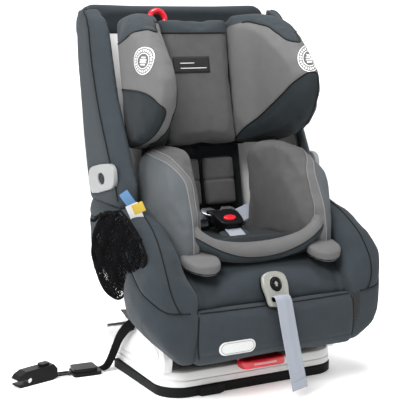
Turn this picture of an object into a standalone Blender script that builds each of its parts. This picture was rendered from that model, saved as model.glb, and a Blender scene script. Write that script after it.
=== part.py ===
"""Convertible child car seat: reclining shell on a base, sliding headrest, five-point harness.

Frame: metres, +Z up, -Y is the front of the seat, origin on the underside of the base at its centre.
"""
import math

import bmesh
import bpy
from mathutils import Matrix, Vector

# ---------------------------------------------------------------- driving dimensions
BASE_HALF_WIDTH = 0.186
BASE_FRONT = -0.132
BASE_REAR = 0.215
RIM_REAR = 0.095
PAD_HEIGHT = 0.018
TRAY_TOP = 0.046
SHELL_HALF_WIDTH = 0.198
SIDE_OUTSIDE = 0.2165
WALL = 0.005
ROCKER_HALF_WIDTH = 0.163
RECLINE_AXIS = (0.0, 0.0, 0.420)
ROCKER_RADIUS = 0.334
BACK_LEAN = math.radians(10.8)
BACK_FOOT = Vector((0.0, 0.140, 0.350))
HARNESS_HALF_GAP = 0.040
PULL_STRAP_WIDTH = 0.032
TETHER_WIDTH = 0.025
GAP = 0.0004

# ---------------------------------------------------------------- colours
COLOURS = {
    "shell_white": ((0.80, 0.80, 0.79), 0.42, 0.0),
    "base_white": ((0.74, 0.74, 0.73), 0.45, 0.0),
    "rim_black": ((0.035, 0.036, 0.038), 0.75, 0.0),
    "plastic_black": ((0.020, 0.021, 0.023), 0.45, 0.0),
    "fabric_charcoal": ((0.085, 0.098, 0.108), 0.90, 0.0),
    "fabric_grey": ((0.200, 0.195, 0.195), 0.92, 0.0),
    "fabric_light": ((0.330, 0.325, 0.320), 0.92, 0.0),
    "webbing_black": ((0.018, 0.018, 0.020), 0.80, 0.0),
    "webbing_silver": ((0.500, 0.530, 0.570), 0.60, 0.0),
    "red_plastic": ((0.650, 0.030, 0.035), 0.28, 0.0),
    "bezel_silver": ((0.520, 0.500, 0.460), 0.38, 0.2),
    "guide_grey": ((0.560, 0.570, 0.570), 0.45, 0.0),
    "steel": ((0.550, 0.550, 0.560), 0.30, 1.0),
    "net_black": ((0.015, 0.015, 0.016), 0.85, 0.0),
}


# ---------------------------------------------------------------- modelling helpers
def clear_scene():
    for item in list(bpy.data.objects):
        bpy.data.objects.remove(item, do_unlink=True)


def material(name):
    found = bpy.data.materials.get(name)
    if found:
        return found
    colour, roughness, metallic = COLOURS[name]
    made = bpy.data.materials.new(name)
    made.use_nodes = True
    shader = made.node_tree.nodes["Principled BSDF"]
    shader.inputs["Base Color"].default_value = (*colour, 1.0)
    shader.inputs["Roughness"].default_value = roughness
    shader.inputs["Metallic"].default_value = metallic
    return made


def node(name, mesh_maker, finish):
    """One named object from a bmesh whose faces are turned outwards."""
    mesh = bpy.data.meshes.new(name)
    bmesh.ops.recalc_face_normals(mesh_maker, faces=mesh_maker.faces)
    mesh_maker.to_mesh(mesh)
    mesh_maker.free()
    obj = bpy.data.objects.new(name, mesh)
    bpy.context.collection.objects.link(obj)
    obj.data.materials.append(material(finish))
    return obj


def world_point(axis, u, v, w):
    """A point from a flat outline's (u, v) and its place w along the axis it is extruded on."""
    if axis == "X":
        return (w, u, v)
    if axis == "Y":
        return (u, w, v)
    return (u, v, w)


def add_prism(maker, outline, axis, low, high):
    bottom = [maker.verts.new(world_point(axis, u, v, low)) for u, v in outline]
    top = [maker.verts.new(world_point(axis, u, v, high)) for u, v in outline]
    maker.faces.new(bottom)
    maker.faces.new(top)
    count = len(outline)
    for i in range(count):
        j = (i + 1) % count
        maker.faces.new((bottom[i], bottom[j], top[j], top[i]))


def prism(name, outline, axis, low, high, finish):
    maker = bmesh.new()
    add_prism(maker, outline, axis, low, high)
    return node(name, maker, finish)


def loft(name, rings, finish):
    """A closed skin over rings that hold the same number of points."""
    maker = bmesh.new()
    made = [[maker.verts.new(point) for point in ring] for ring in rings]
    count = len(rings[0])
    maker.faces.new(made[0])
    maker.faces.new(made[-1])
    for lower, upper in zip(made, made[1:]):
        for i in range(count):
            j = (i + 1) % count
            maker.faces.new((lower[i], lower[j], upper[j], upper[i]))
    return node(name, maker, finish)


def cylinder(name, start, end, radius, finish, sides=16):
    start, end = Vector(start), Vector(end)
    along = (end - start).normalized()
    side = along.orthogonal().normalized()
    rings = []
    for centre in (start, end):
        ring = []
        for i in range(sides):
            turn = Matrix.Rotation(math.tau * i / sides, 3, along)
            ring.append(centre + turn @ side * radius)
        rings.append(ring)
    made = loft(name, rings, finish)
    made.data.shade_smooth()
    made.data.set_sharp_from_angle(angle=math.radians(40))
    return made


def box(name, low, high, finish, bevel=0.0):
    outline = [(low[0], low[1]), (high[0], low[1]), (high[0], high[1]), (low[0], high[1])]
    made = prism(name, outline, "Z", low[2], high[2], finish)
    if bevel:
        soften(made, bevel)
    return made


def soften(obj, width, segments=2):
    rounded = obj.modifiers.new("edges", "BEVEL")
    rounded.width = width
    rounded.segments = segments
    rounded.limit_method = "ANGLE"
    rounded.angle_limit = math.radians(28)
    return obj


def combine(target, cutter, operation):
    """Boolean with a helper object that is hidden from the build."""
    cutter.hide_render = True
    cutter.display_type = "WIRE"
    cut = target.modifiers.new(operation.lower(), "BOOLEAN")
    cut.operation = operation
    cut.object = cutter
    return target


def two_view_solid(name, plan, plan_axis, span, side, finish, side_span=0.30):
    """The solid that shows one outline along plan_axis and another along X."""
    made = prism(name, plan, plan_axis, span[0], span[1], finish)
    other = prism(name + "_guide", side, "X", -side_span, side_span, finish)
    return combine(made, other, "INTERSECT")


def arc(centre, radius, start, end, steps):
    """Points of a circular arc, with angles in degrees from the first axis."""
    points = []
    for i in range(steps + 1):
        turn = math.radians(start + (end - start) * i / steps)
        points.append((centre[0] + radius * math.cos(turn), centre[1] + radius * math.sin(turn)))
    return points


def rounded_rectangle(low, high, radius, steps=3):
    (u0, v0), (u1, v1) = low, high
    return (
        arc((u1 - radius, v0 + radius), radius, -90, 0, steps)
        + arc((u1 - radius, v1 - radius), radius, 0, 90, steps)
        + arc((u0 + radius, v1 - radius), radius, 90, 180, steps)
        + arc((u0 + radius, v0 + radius), radius, 180, 270, steps)
    )


def smooth_curve(points, steps):
    """Catmull-Rom curve through 3-D points."""
    ends = [points[0] * 2 - points[1]] + points + [points[-1] * 2 - points[-2]]
    out = []
    for i in range(1, len(ends) - 2):
        a, b, c, d = ends[i - 1:i + 3]
        for k in range(steps):
            t = k / steps
            out.append(0.5 * (2 * b + (c - a) * t + (2 * a - 5 * b + 4 * c - d) * t * t
                              + (3 * b - a - 3 * c + d) * t ** 3))
    out.append(points[-1])
    return out


def ribbon(name, route, width, across, thickness, finish):
    """A flat strap along route, with its width turned as near as it can be to one direction."""
    half = width / 2
    rings = []
    for i, point in enumerate(route):
        before = route[max(i - 1, 0)]
        after = route[min(i + 1, len(route) - 1)]
        along = (after - before).normalized()
        wide = (across - along * across.dot(along)).normalized()
        face = along.cross(wide).normalized() * thickness / 2
        rings.append([point - wide * half - face, point + wide * half - face,
                      point + wide * half + face, point - wide * half + face])
    return loft(name, rings, finish)


def on_back(x, depth, height):
    """World point from the reclined back's own axes: depth is backwards, height is up the back."""
    up = Vector((0.0, math.sin(BACK_LEAN), math.cos(BACK_LEAN)))
    out = Vector((0.0, math.cos(BACK_LEAN), -math.sin(BACK_LEAN)))
    return Vector((x, 0.0, 0.0)) + BACK_FOOT + out * depth + up * height


def lean_back(obj):
    """Place an object modelled in the back's own axes."""
    up = Vector((0.0, math.sin(BACK_LEAN), math.cos(BACK_LEAN)))
    out = Vector((0.0, math.cos(BACK_LEAN), -math.sin(BACK_LEAN)))
    turn = Matrix((Vector((1.0, 0.0, 0.0)), out, up)).transposed().to_4x4()
    obj.data.transform(Matrix.Translation(BACK_FOOT) @ turn)
    return obj


def lean_back_with_guides(obj):
    lean_back(obj)
    for modifier in obj.modifiers:
        if modifier.type == "BOOLEAN":
            lean_back(modifier.object)
    return obj


# ---------------------------------------------------------------- base
def make_base():
    tray_plan = (
        arc((BASE_HALF_WIDTH - 0.050, BASE_FRONT + 0.050), 0.050, -90, 0, 5)
        + arc((BASE_HALF_WIDTH - 0.075, BASE_REAR - 0.060), 0.060, 0, 90, 5)
    )
    tray_plan += [(-u, v) for u, v in reversed(tray_plan)]
    tray = prism("base_tray", tray_plan, "Z", PAD_HEIGHT, TRAY_TOP, "base_white")
    heel = [(0.138, -0.020), (0.138, 0.112), (0.160, 0.118)] + arc((0.130, 0.175), 0.030, 0, 90, 3)
    heel += [(-u, v) for u, v in reversed(heel)]
    combine(tray, prism("tray_heel", heel, "Z", 0.0, 0.030, "base_white"), "UNION")
    soften(tray, 0.005)

    rear = RIM_REAR
    rim_plan = arc((BASE_HALF_WIDTH - 0.050, BASE_FRONT + 0.050), 0.050, -90, 0, 5) + [(BASE_HALF_WIDTH, rear)]
    inner = BASE_HALF_WIDTH - 0.040
    rim_plan += [(inner, rear), (inner, BASE_FRONT + 0.070), (inner - 0.020, BASE_FRONT + 0.040)]
    rim_plan += [(-u, v) for u, v in reversed(rim_plan)]
    prism("base_rim_pad", rim_plan, "Z", 0.0, PAD_HEIGHT - GAP, "rim_black")

    tower_side = [(-0.118, TRAY_TOP + GAP), (-0.120, 0.078), (-0.100, 0.098), (-0.060, 0.117),
                  (-0.020, 0.122), (0.020, 0.106), (0.042, 0.085), (0.058, 0.058), (0.066, TRAY_TOP + GAP)]
    rail_arc = arc((RECLINE_AXIS[1], RECLINE_AXIS[2]), ROCKER_RADIUS + 0.0008, -108, -73, 7)
    for side, sign in (("left", -1), ("right", 1)):
        inside, outside = 0.1665 * sign, 0.183 * sign
        low, high = sorted((inside, outside))
        tower = prism("base_tower_" + side, tower_side, "X", low, high, "base_white")
        soften(tower, 0.004)
        low, high = sorted((0.090 * sign, 0.140 * sign))
        rail = [(0.100, TRAY_TOP + GAP), (-0.103, TRAY_TOP + GAP)] + rail_arc
        prism("recline_rail_" + side, rail, "X", low, high, "plastic_black")

    cylinder("isofix_bar", (-0.178, 0.150, 0.0685), (0.178, 0.150, 0.0685), 0.0038, "steel", 12)
    for side, sign in (("left", -1), ("right", 1)):
        low, high = sorted((0.115 * sign, 0.135 * sign))
        lug = [(0.132, TRAY_TOP + GAP), (0.170, TRAY_TOP + GAP), (0.163, 0.078), (0.139, 0.078)]
        made = prism("bar_lug_" + side, lug, "X", low, high, "base_white")
        hole = cylinder("bar_lug_hole_" + side, (low - 0.01, 0.150, 0.0685), (high + 0.01, 0.150, 0.0685),
                        0.0042, "steel", 12)
        combine(made, hole, "DIFFERENCE")


def make_recline_handle():
    handle = prism("recline_handle", rounded_rectangle((-0.054, -0.166), (0.054, -0.136), 0.010, 3), "Z",
                   0.0525, 0.0665, "red_plastic")
    soften(handle, 0.003)
    box("recline_link_rod", (-0.012, -0.1355, 0.055), (0.012, -0.060, 0.061), "steel")


# ---------------------------------------------------------------- seat shell and rocker
def make_shell():
    outer = [(0.190, 0.611), (0.1415, 0.350), (0.129, 0.290), (0.126, 0.215), (0.118, 0.180),
             (0.048, 0.128), (-0.010, 0.142), (-0.165, 0.138), (-0.165, 0.165), (-0.012, 0.180),
             (-0.006, 0.340), (0.034, 0.400), (0.060, 0.500), (0.094, 0.610), (0.112, 0.684), (0.2036, 0.684)]
    shell = prism("seat_shell", outer, "X", -SHELL_HALF_WIDTH, SHELL_HALF_WIDTH, "shell_white")
    hollow_side = [(-0.30, 0.143), (-0.020, 0.150), (0.048, 0.137), (0.112, 0.184), (0.120, 0.215),
                   (0.123, 0.290), (0.1355, 0.350), (0.184, 0.611), (0.2185, 0.80), (-0.30, 0.80)]
    hollow = prism("shell_hollow", hollow_side, "X", WALL - SHELL_HALF_WIDTH, SHELL_HALF_WIDTH - WALL,
                   "shell_white")
    combine(shell, hollow, "DIFFERENCE")
    corner = 0.070
    for side, sign in (("left", -1), ("right", 1)):
        middle = (sign * (SHELL_HALF_WIDTH - corner), 0.6845 - corner)
        fillet = [(sign * 0.30, 0.80), (middle[0], 0.80)]
        fillet += arc(middle, corner, 90, 90 - sign * 90, 5) + [(sign * 0.30, middle[1])]
        cutter = prism("shell_corner_cutter_" + side, fillet, "Y", -0.1, 0.4, "shell_white")
        combine(shell, cutter, "DIFFERENCE")

    rocker = arc((RECLINE_AXIS[1], RECLINE_AXIS[2]), ROCKER_RADIUS, -118, -66, 12)
    rocker += [(0.108, 0.168), (0.046, 0.1255), (-0.012, 0.1405), (-0.158, 0.1365)]
    prism("rocker_hull", rocker, "X", -ROCKER_HALF_WIDTH, ROCKER_HALF_WIDTH, "plastic_black")


def make_guide_rods():
    for side, sign in (("left", -1), ("right", 1)):
        x = 0.050 * sign
        cylinder("guide_rod_" + side, on_back(x, -0.020, 0.075), on_back(x, -0.020, 0.287), 0.0040, "steel", 10)


def make_shell_covers():
    seat_wing_side = [(-0.018, 0.181), (-0.056, 0.134), (-0.100, 0.108), (-0.160, 0.092), (-0.188, 0.110),
                      (-0.200, 0.150), (-0.199, 0.185), (-0.188, 0.225), (-0.160, 0.268), (-0.112, 0.305),
                      (-0.060, 0.322), (-0.018, 0.330)]
    seat_wing_front = [(0.188, 0.060), (0.1745, 0.136), (0.1745, 0.360), (0.205, 0.360), (0.219, 0.300),
                       (0.232, 0.230), (0.238, 0.170), (0.230, 0.120), (0.206, 0.085), (0.198, 0.060)]
    seat_wing_plan = [(0.160, -0.018), (0.160, -0.205), (0.192, -0.204), (0.216, -0.190), (0.232, -0.160),
                      (0.238, -0.110), (0.232, -0.060), (0.222, -0.018)]
    wall_slot = [(-0.1658, 0.1370), (-0.1658, 0.1660), (-0.010, 0.1812), (0.020, 0.1812), (0.020, 0.1380),
                 (-0.010, 0.1405)]
    rear_panel_side = [(-0.014, 0.190), (-0.014, 0.338), (0.103, 0.338), (0.135, 0.300), (0.131, 0.210),
                       (0.103, 0.186)]
    back_wing_side = [(0.129, 0.700), (0.170, 0.690), (0.196, 0.655), (0.190, 0.600), (0.142, 0.3385),
                      (-0.014, 0.3385), (0.000, 0.372), (0.024, 0.400), (0.046, 0.490), (0.080, 0.600),
                      (0.090, 0.660), (0.104, 0.694)]
    for side, sign in (("left", -1), ("right", 1)):
        front = [(sign * u, v) for u, v in seat_wing_front]
        wing = prism("seat_wing_" + side, front, "Y", -0.30, -0.018, "fabric_charcoal")
        outline = prism("seat_wing_outline_" + side, seat_wing_side, "X", -0.30, 0.30, "fabric_charcoal")
        combine(wing, outline, "INTERSECT")
        plan = [(sign * u, v) for u, v in seat_wing_plan]
        combine(wing, prism("seat_wing_plan_" + side, plan, "Z", 0.0, 0.40, "fabric_charcoal"), "INTERSECT")
        low, high = sorted((0.150 * sign, (SHELL_HALF_WIDTH + 0.0008) * sign))
        combine(wing, prism("wall_slot_" + side, wall_slot, "X", low, high, "fabric_charcoal"), "DIFFERENCE")
        low, high = sorted(((SHELL_HALF_WIDTH + 0.0006) * sign, SIDE_OUTSIDE * sign))
        panel = prism("side_panel_" + side, rear_panel_side, "X", low, high, "fabric_charcoal")
        soften(panel, 0.005, 1)
        soften(prism("back_wing_" + side, back_wing_side, "X", low, high, "fabric_charcoal"), 0.006)

    cushion_side = [(-0.014, 0.152), (-0.1745, 0.1515), (-0.1895, 0.161), (-0.1935, 0.177), (-0.176, 0.208),
                    (-0.140, 0.229), (-0.090, 0.238), (0.040, 0.236), (0.108, 0.230), (0.108, 0.190),
                    (0.048, 0.1395)]
    soften(prism("seat_cushion", cushion_side, "X", -0.1735, 0.1735, "fabric_charcoal"), 0.005, 1)

    panel_side = [(-0.1665, 0.149), (-0.1765, 0.149), (-0.192, 0.159), (-0.1945, 0.1745), (-0.200, 0.1745),
                  (-0.2065, 0.160), (-0.2045, 0.100), (-0.196, 0.091), (-0.1665, 0.091)]
    prism("front_panel", panel_side, "X", -0.1735, 0.1735, "fabric_charcoal")

    cap = [(-0.018, 0.290), (-0.020, 0.350), (-0.012, 0.3585), (0.004, 0.3585), (0.012, 0.350),
           (0.012, 0.290), (0.0012, 0.290), (0.0012, 0.3415), (-0.0068, 0.3415), (-0.0068, 0.290)]
    lean_back(prism("back_top_cover", cap, "X", -0.148, 0.148, "fabric_charcoal"))
    pad_plan = rounded_rectangle((-0.100, -0.030), (0.100, -0.0085), 0.008, 2)
    lean_back(prism("back_pad", pad_plan, "Z", -0.095, 0.065, "fabric_grey"))


# ---------------------------------------------------------------- belt guides and pocket
def make_side_details():
    plate = [(0.112, 0.352), (0.118, 0.385), (0.100, 0.398), (0.060, 0.404), (0.020, 0.408), (0.004, 0.400),
             (0.002, 0.372), (0.030, 0.362), (0.080, 0.348), (0.104, 0.345)]
    lens = arc((0.062, 0.376), 0.010, 0, 330, 11)
    for side, sign in (("left", -1), ("right", 1)):
        low, high = sorted(((SIDE_OUTSIDE + 0.0005) * sign, (SIDE_OUTSIDE + 0.0050) * sign))
        guide = prism("belt_guide_" + side, plate, "X", low, high, "guide_grey")
        low, high = sorted(((SIDE_OUTSIDE + 0.0028) * sign, (SIDE_OUTSIDE + 0.0200) * sign))
        combine(guide, prism("belt_guide_recess_" + side, lens, "X", low, high, "guide_grey"), "DIFFERENCE")

    pouch = [(-0.060, 0.336), (-0.010, 0.322), (0.040, 0.298), (0.066, 0.262), (0.060, 0.225), (0.040, 0.195),
             (0.010, 0.178), (-0.050, 0.178), (-0.090, 0.205), (-0.130, 0.236), (-0.160, 0.268), (-0.135, 0.300),
             (-0.100, 0.322)]
    pocket = prism("mesh_pocket", pouch, "X", -0.2520, -0.2386, "net_black")
    middle = (-0.040, 0.262)
    inside = [(middle[0] + (y - middle[0]) * 0.965, middle[1] + (z - middle[1]) * 0.965) for y, z in pouch]
    mouth = [(y, z + 0.06 if z > middle[1] else z) for y, z in inside]
    combine(pocket, prism("mesh_pocket_inside", mouth, "X", -0.2505, -0.2400, "net_black"), "DIFFERENCE")


# ---------------------------------------------------------------- infant insert
def make_insert():
    plan = [(0.104, 0.060), (0.130, 0.060), (0.152, 0.040), (0.166, 0.004), (0.164, -0.040), (0.160, -0.105),
            (0.148, -0.142), (0.126, -0.142), (0.113, -0.100), (0.096, -0.040), (0.084, 0.010), (0.086, 0.050)]
    side = [(0.058, 0.395), (0.030, 0.424), (-0.020, 0.428), (-0.068, 0.410), (-0.108, 0.374), (-0.136, 0.322),
            (-0.146, 0.270), (-0.136, 0.2405), (0.058, 0.2405)]
    for name, sign in (("left", -1), ("right", 1)):
        outline = [(sign * u, v) for u, v in plan]
        two_view_solid("insert_bolster_" + name, outline, "Z", (0.20, 0.46), side, "fabric_grey")

    pad_plan = [(0.081, 0.060), (0.080, 0.010), (0.092, -0.040), (0.108, -0.100), (0.114, -0.128),
                (0.060, -0.138), (0.000, -0.141)]
    pad_plan += [(-u, v) for u, v in reversed(pad_plan[:-1])]
    pad_side = [(0.064, 0.262), (0.000, 0.264), (-0.080, 0.268), (-0.125, 0.284), (-0.142, 0.280),
                (-0.142, 0.250), (-0.120, 0.2405), (0.064, 0.2405)]
    two_view_solid("insert_seat_pad", pad_plan, "Z", (0.20, 0.32), pad_side, "fabric_grey")

    for name, sign in (("left", -1), ("right", 1)):
        flap = [(sign * u, v) for u, v in ((0.116, -0.146), (0.146, -0.146), (0.150, -0.166), (0.130, -0.186),
                                           (0.104, -0.180))]
        prism("insert_flap_" + name, flap, "Z", 0.2305, 0.2440, "fabric_light")


# ---------------------------------------------------------------- harness
def make_harness():
    for side, sign in (("left", -1), ("right", 1)):
        centre = HARNESS_HALF_GAP * sign
        strap_plan = [(centre - 0.017, -0.0335), (centre + 0.017, -0.0335), (centre + 0.017, -0.0312),
                      (centre - 0.017, -0.0312)]
        lean_back(prism("shoulder_strap_" + side, strap_plan, "Z", -0.060, 0.070, "webbing_black"))
        pad_plan = rounded_rectangle((centre - 0.022, -0.0505), (centre + 0.022, -0.0345), 0.006, 2)
        lean_back(prism("shoulder_pad_" + side, pad_plan, "Z", -0.046, 0.053, "fabric_grey"))
    yoke = [(-0.055, 0.0030), (0.055, 0.0030), (0.030, 0.0045), (-0.030, 0.0045)]
    lean_back(prism("harness_yoke", yoke, "Z", -0.040, -0.010, "steel"))

    housing = prism("buckle_housing", rounded_rectangle((-0.027, -0.018), (0.027, 0.028), 0.012, 3), "Z",
                    0.0, 0.020, "plastic_black")
    window_plan = rounded_rectangle((-0.0135, -0.0075), (0.0135, 0.0095), 0.0084, 3)
    window = prism("buckle_window", window_plan, "Z", 0.006, 0.030, "plastic_black")
    combine(housing, window, "DIFFERENCE")
    button_plan = rounded_rectangle((-0.0125, -0.0065), (0.0125, 0.0085), 0.0074, 3)
    button = prism("buckle_button", button_plan, "Z", 0.0125, 0.0225, "red_plastic")
    placed = Matrix.Translation((0.0, -0.018, 0.2870)) @ Matrix.Rotation(math.radians(24), 4, "X")
    parts = [housing, window, button]
    for side, sign in (("left", -1), ("right", 1)):
        tongue = [(sign * u, v) for u, v in ((0.004, 0.0284), (0.022, 0.0284), (0.034, 0.040), (0.034, 0.052),
                                             (0.010, 0.052), (0.004, 0.040))]
        parts.append(prism("tongue_" + side, tongue, "Z", 0.006, 0.0090, "steel"))
    parts.append(prism("crotch_strap", [(-0.017, -0.052), (0.017, -0.052), (0.017, -0.0184), (-0.017, -0.0184)],
                       "Z", 0.006, 0.0085, "webbing_silver"))
    parts.append(prism("crotch_pad", rounded_rectangle((-0.029, -0.042), (0.029, -0.0190), 0.008, 2), "Z",
                       0.0, 0.0052, "fabric_charcoal"))
    for part in parts:
        part.data.transform(placed)


# ---------------------------------------------------------------- front adjuster and pull strap
def make_front_adjuster():
    bezel = prism("adjuster_bezel", rounded_rectangle((-0.030, -0.034), (0.030, 0.030), 0.022, 4), "Z",
                  0.0, 0.009, "bezel_silver")
    well = prism("adjuster_well", arc((0.0, 0.005), 0.0125, 0, 345, 23), "Z", -0.010, 0.030, "bezel_silver")
    slot = box("adjuster_slot", (-0.0185, -0.0265, -0.010), (0.0185, -0.0185, 0.030), "bezel_silver")
    combine(bezel, well, "DIFFERENCE")
    combine(bezel, slot, "DIFFERENCE")
    button = prism("adjuster_button", arc((0.0, 0.005), 0.0118, 0, 345, 23), "Z", 0.0045, 0.0105, "plastic_black")
    placed = Matrix.Translation((0.0, -0.1905, 0.2040)) @ Matrix.Rotation(math.radians(62), 4, "X")
    for part in (bezel, well, slot, button):
        part.data.transform(placed)
    route = [Vector(point) for point in (
        (0.000, -0.1985, 0.1828), (0.000, -0.2050, 0.1862), (0.0000, -0.2110, 0.1892), (0.0005, -0.2165, 0.1900),
        (0.001, -0.2210, 0.1870), (0.002, -0.2242, 0.1800), (0.004, -0.2265, 0.1650), (0.008, -0.2285, 0.1400),
        (0.013, -0.2300, 0.1120), (0.019, -0.2310, 0.0830), (0.025, -0.2315, 0.0550), (0.030, -0.2320, 0.0320),
        (0.0325, -0.2322, 0.0190))]
    across = Vector((1.0, 0.0, 0.0))
    ribbon("pull_strap", smooth_curve(route, 2), PULL_STRAP_WIDTH, across, 0.0016, "webbing_silver")


# ---------------------------------------------------------------- headrest
def make_headrest():
    plan = [(0.106, -0.0535), (0.165, -0.072), (0.186, -0.110), (0.188, -0.140), (0.178, -0.200),
            (0.160, -0.254), (0.146, -0.262), (0.134, -0.250), (0.126, -0.200), (0.108, -0.130),
            (0.082, -0.088), (0.076, -0.0535)]
    side = [(-0.052, 0.300), (-0.090, 0.3125), (-0.160, 0.3125), (-0.205, 0.297), (-0.240, 0.262),
            (-0.258, 0.215), (-0.263, 0.170), (-0.255, 0.130), (-0.235, 0.100), (-0.200, 0.078),
            (-0.150, 0.067), (-0.090, 0.065), (-0.052, 0.068)]
    front = [(0.060, 0.055), (0.060, 0.320), (0.130, 0.320), (0.160, 0.306), (0.180, 0.280), (0.190, 0.240),
             (0.190, 0.140), (0.182, 0.090), (0.165, 0.055)]
    for name, sign in (("left", -1), ("right", 1)):
        outline = [(sign * u, v) for u, v in plan]
        wing = two_view_solid("headrest_wing_" + name, outline, "Z", (0.03, 0.35), side, "fabric_light")
        corner = prism("headrest_wing_front_" + name, [(sign * u, v) for u, v in front], "Y", -0.4, 0.1,
                       "fabric_light")
        combine(wing, corner, "INTERSECT")
        lean_back_with_guides(wing)
    lean_back(prism("headrest_shell", rounded_rectangle((-0.110, -0.0530), (0.110, -0.0400), 0.006, 2), "Z",
                    0.066, 0.300, "plastic_black"))
    pad = prism("headrest_centre_pad", rounded_rectangle((-0.072, -0.086), (0.072, -0.0535), 0.012, 2), "Z",
                0.0695, 0.3085, "fabric_grey")
    lean_back(pad)
    carrier = prism("headrest_carrier", rounded_rectangle((-0.075, -0.0395), (0.075, -0.0115), 0.006, 2), "Z",
                    0.090, 0.125, "plastic_black")
    holes = []
    for side_name, sign in (("left", -1), ("right", 1)):
        hole = prism("carrier_hole_" + side_name, arc((0.050 * sign, -0.020), 0.0046, 0, 330, 11), "Z",
                     0.05, 0.16, "plastic_black")
        combine(carrier, hole, "DIFFERENCE")
        holes.append(hole)
    for part in [carrier] + holes:
        lean_back(part)

    ring = bmesh.new()
    segments, sides = 16, 8
    loops = []
    for i in range(segments):
        turn = math.tau * i / segments
        loop = []
        for k in range(sides):
            swirl = math.tau * k / sides
            reach = 0.0165 + 0.0055 * math.cos(swirl)
            loop.append(ring.verts.new((-0.055 + reach * math.cos(turn), -0.0300 + 0.0055 * math.sin(swirl),
                                        0.3120 + reach * math.sin(turn))))
        loops.append(loop)
    for i in range(segments):
        first, second = loops[i], loops[(i + 1) % segments]
        for k in range(sides):
            m = (k + 1) % sides
            ring.faces.new((first[k], first[m], second[m], second[k]))
    lean_back(node("headrest_ring_handle", ring, "red_plastic"))


# ---------------------------------------------------------------- lower anchor tether on the floor
def tether_place(x, y, turn):
    return Matrix.Translation((x, y, 0.0)) @ Matrix.Rotation(math.radians(turn), 4, "Z")


def make_tether():
    route = [Vector(point) for point in (
        (-0.1872, -0.0060, 0.1120), (-0.1890, 0.0060, 0.1080), (-0.1920, 0.0200, 0.0990), (-0.1945, 0.0345, 0.0860),
        (-0.1965, 0.0480, 0.0710), (-0.1980, 0.0600, 0.0530), (-0.2000, 0.0710, 0.0350), (-0.2035, 0.0790, 0.0190),
        (-0.2085, 0.0835, 0.0085), (-0.2150, 0.0850, 0.0045), (-0.2200, 0.0850, 0.0040))]
    ribbon("tether_strap", smooth_curve(route, 2), TETHER_WIDTH, Vector((0.0, 1.0, 0.0)), 0.0024, "webbing_black")

    frame_plan = rounded_rectangle((-0.028, -0.021), (0.028, 0.021), 0.006, 2)
    body = prism("tether_adjuster", frame_plan, "Z", 0.0, 0.0070, "plastic_black")
    slot = prism("tether_adjuster_slot", [(0.004, -0.0135), (0.014, -0.0135), (0.014, 0.0135), (0.004, 0.0135)],
                 "Z", -0.01, 0.02, "plastic_black")
    combine(body, slot, "DIFFERENCE")
    lever = prism("tether_lever", rounded_rectangle((-0.026, -0.0185), (0.020, 0.0185), 0.005, 2), "Z",
                  0.0075, 0.0145, "plastic_black")
    placed = tether_place(-0.2515, 0.0855, -4.0)
    for part in (body, slot, lever):
        part.data.transform(placed)

    link_plan = rounded_rectangle((-0.0145, -0.0085), (0.0145, 0.0085), 0.005, 2)
    link = prism("tether_link", link_plan, "Z", 0.0030, 0.0065, "plastic_black")
    eye = prism("tether_link_eye", rounded_rectangle((-0.0100, -0.0042), (0.0100, 0.0042), 0.003, 1), "Z",
                -0.01, 0.02, "plastic_black")
    combine(link, eye, "DIFFERENCE")
    placed = tether_place(-0.2948, 0.0880, -4.0)
    for part in (link, eye):
        part.data.transform(placed)

    side = [(0.0, 0.003), (0.0, 0.020), (0.008, 0.0300), (0.070, 0.0285), (0.083, 0.023), (0.089, 0.0165),
            (0.087, 0.0135), (0.064, 0.0130), (0.064, 0.0062), (0.086, 0.0056), (0.089, 0.0036), (0.083, 0.0),
            (0.010, 0.0)]
    profile = [(-u, v) for u, v in side]
    housing = prism("connector_housing", profile, "Y", -0.0115, 0.0115, "plastic_black")
    bore = prism("connector_jaw_bore", arc((-0.0610, 0.0096), 0.0052, 0, 337.5, 15), "Y", -0.0200, 0.0200,
                 "plastic_black")
    combine(housing, bore, "DIFFERENCE")
    flat = [(-0.0610 + 0.0048 * math.cos(math.radians(t)), 0.0096 + 0.0048 * math.sin(math.radians(t)))
            for t in range(-140, 141, 20)]
    jaw = prism("connector_jaw", flat, "Y", -0.0090, 0.0090, "steel")
    button = prism("connector_button", rounded_rectangle((-0.034, -0.0075), (-0.014, 0.0075), 0.003, 2), "Z",
                   0.0306, 0.0340, "plastic_black")
    placed = tether_place(-0.3130, 0.0895, 15.0)
    for part in (housing, bore, jaw, button):
        part.data.transform(placed)


def main():
    clear_scene()
    make_base()
    make_recline_handle()
    make_shell()
    make_guide_rods()
    make_shell_covers()
    make_side_details()
    make_insert()
    make_harness()
    make_front_adjuster()
    make_headrest()
    make_tether()


main()
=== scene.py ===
"""Convertible child car seat: upholstery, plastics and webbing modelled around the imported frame.

Frame: metres, +Z up, -Y is the front of the seat, origin on the underside of the base at its centre.
"""

import math

import bmesh
import bpy
import numpy as np
from mathutils import Matrix, Vector
from mathutils.bvhtree import BVHTree


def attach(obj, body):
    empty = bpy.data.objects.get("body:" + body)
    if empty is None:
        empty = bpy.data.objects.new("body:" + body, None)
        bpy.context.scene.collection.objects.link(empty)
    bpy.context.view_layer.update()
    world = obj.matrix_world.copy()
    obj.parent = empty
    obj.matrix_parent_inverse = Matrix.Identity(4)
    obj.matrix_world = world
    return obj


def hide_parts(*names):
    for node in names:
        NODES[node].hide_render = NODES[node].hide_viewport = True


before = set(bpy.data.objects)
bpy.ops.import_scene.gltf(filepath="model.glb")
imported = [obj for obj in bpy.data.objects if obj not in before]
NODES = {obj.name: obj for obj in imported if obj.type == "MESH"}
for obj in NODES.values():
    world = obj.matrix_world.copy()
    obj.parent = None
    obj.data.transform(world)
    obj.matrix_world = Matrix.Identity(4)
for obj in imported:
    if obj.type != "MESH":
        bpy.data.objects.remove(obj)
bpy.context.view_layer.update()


def turned(degrees, axis):
    return Matrix.Rotation(math.radians(degrees), 4, axis)


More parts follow.
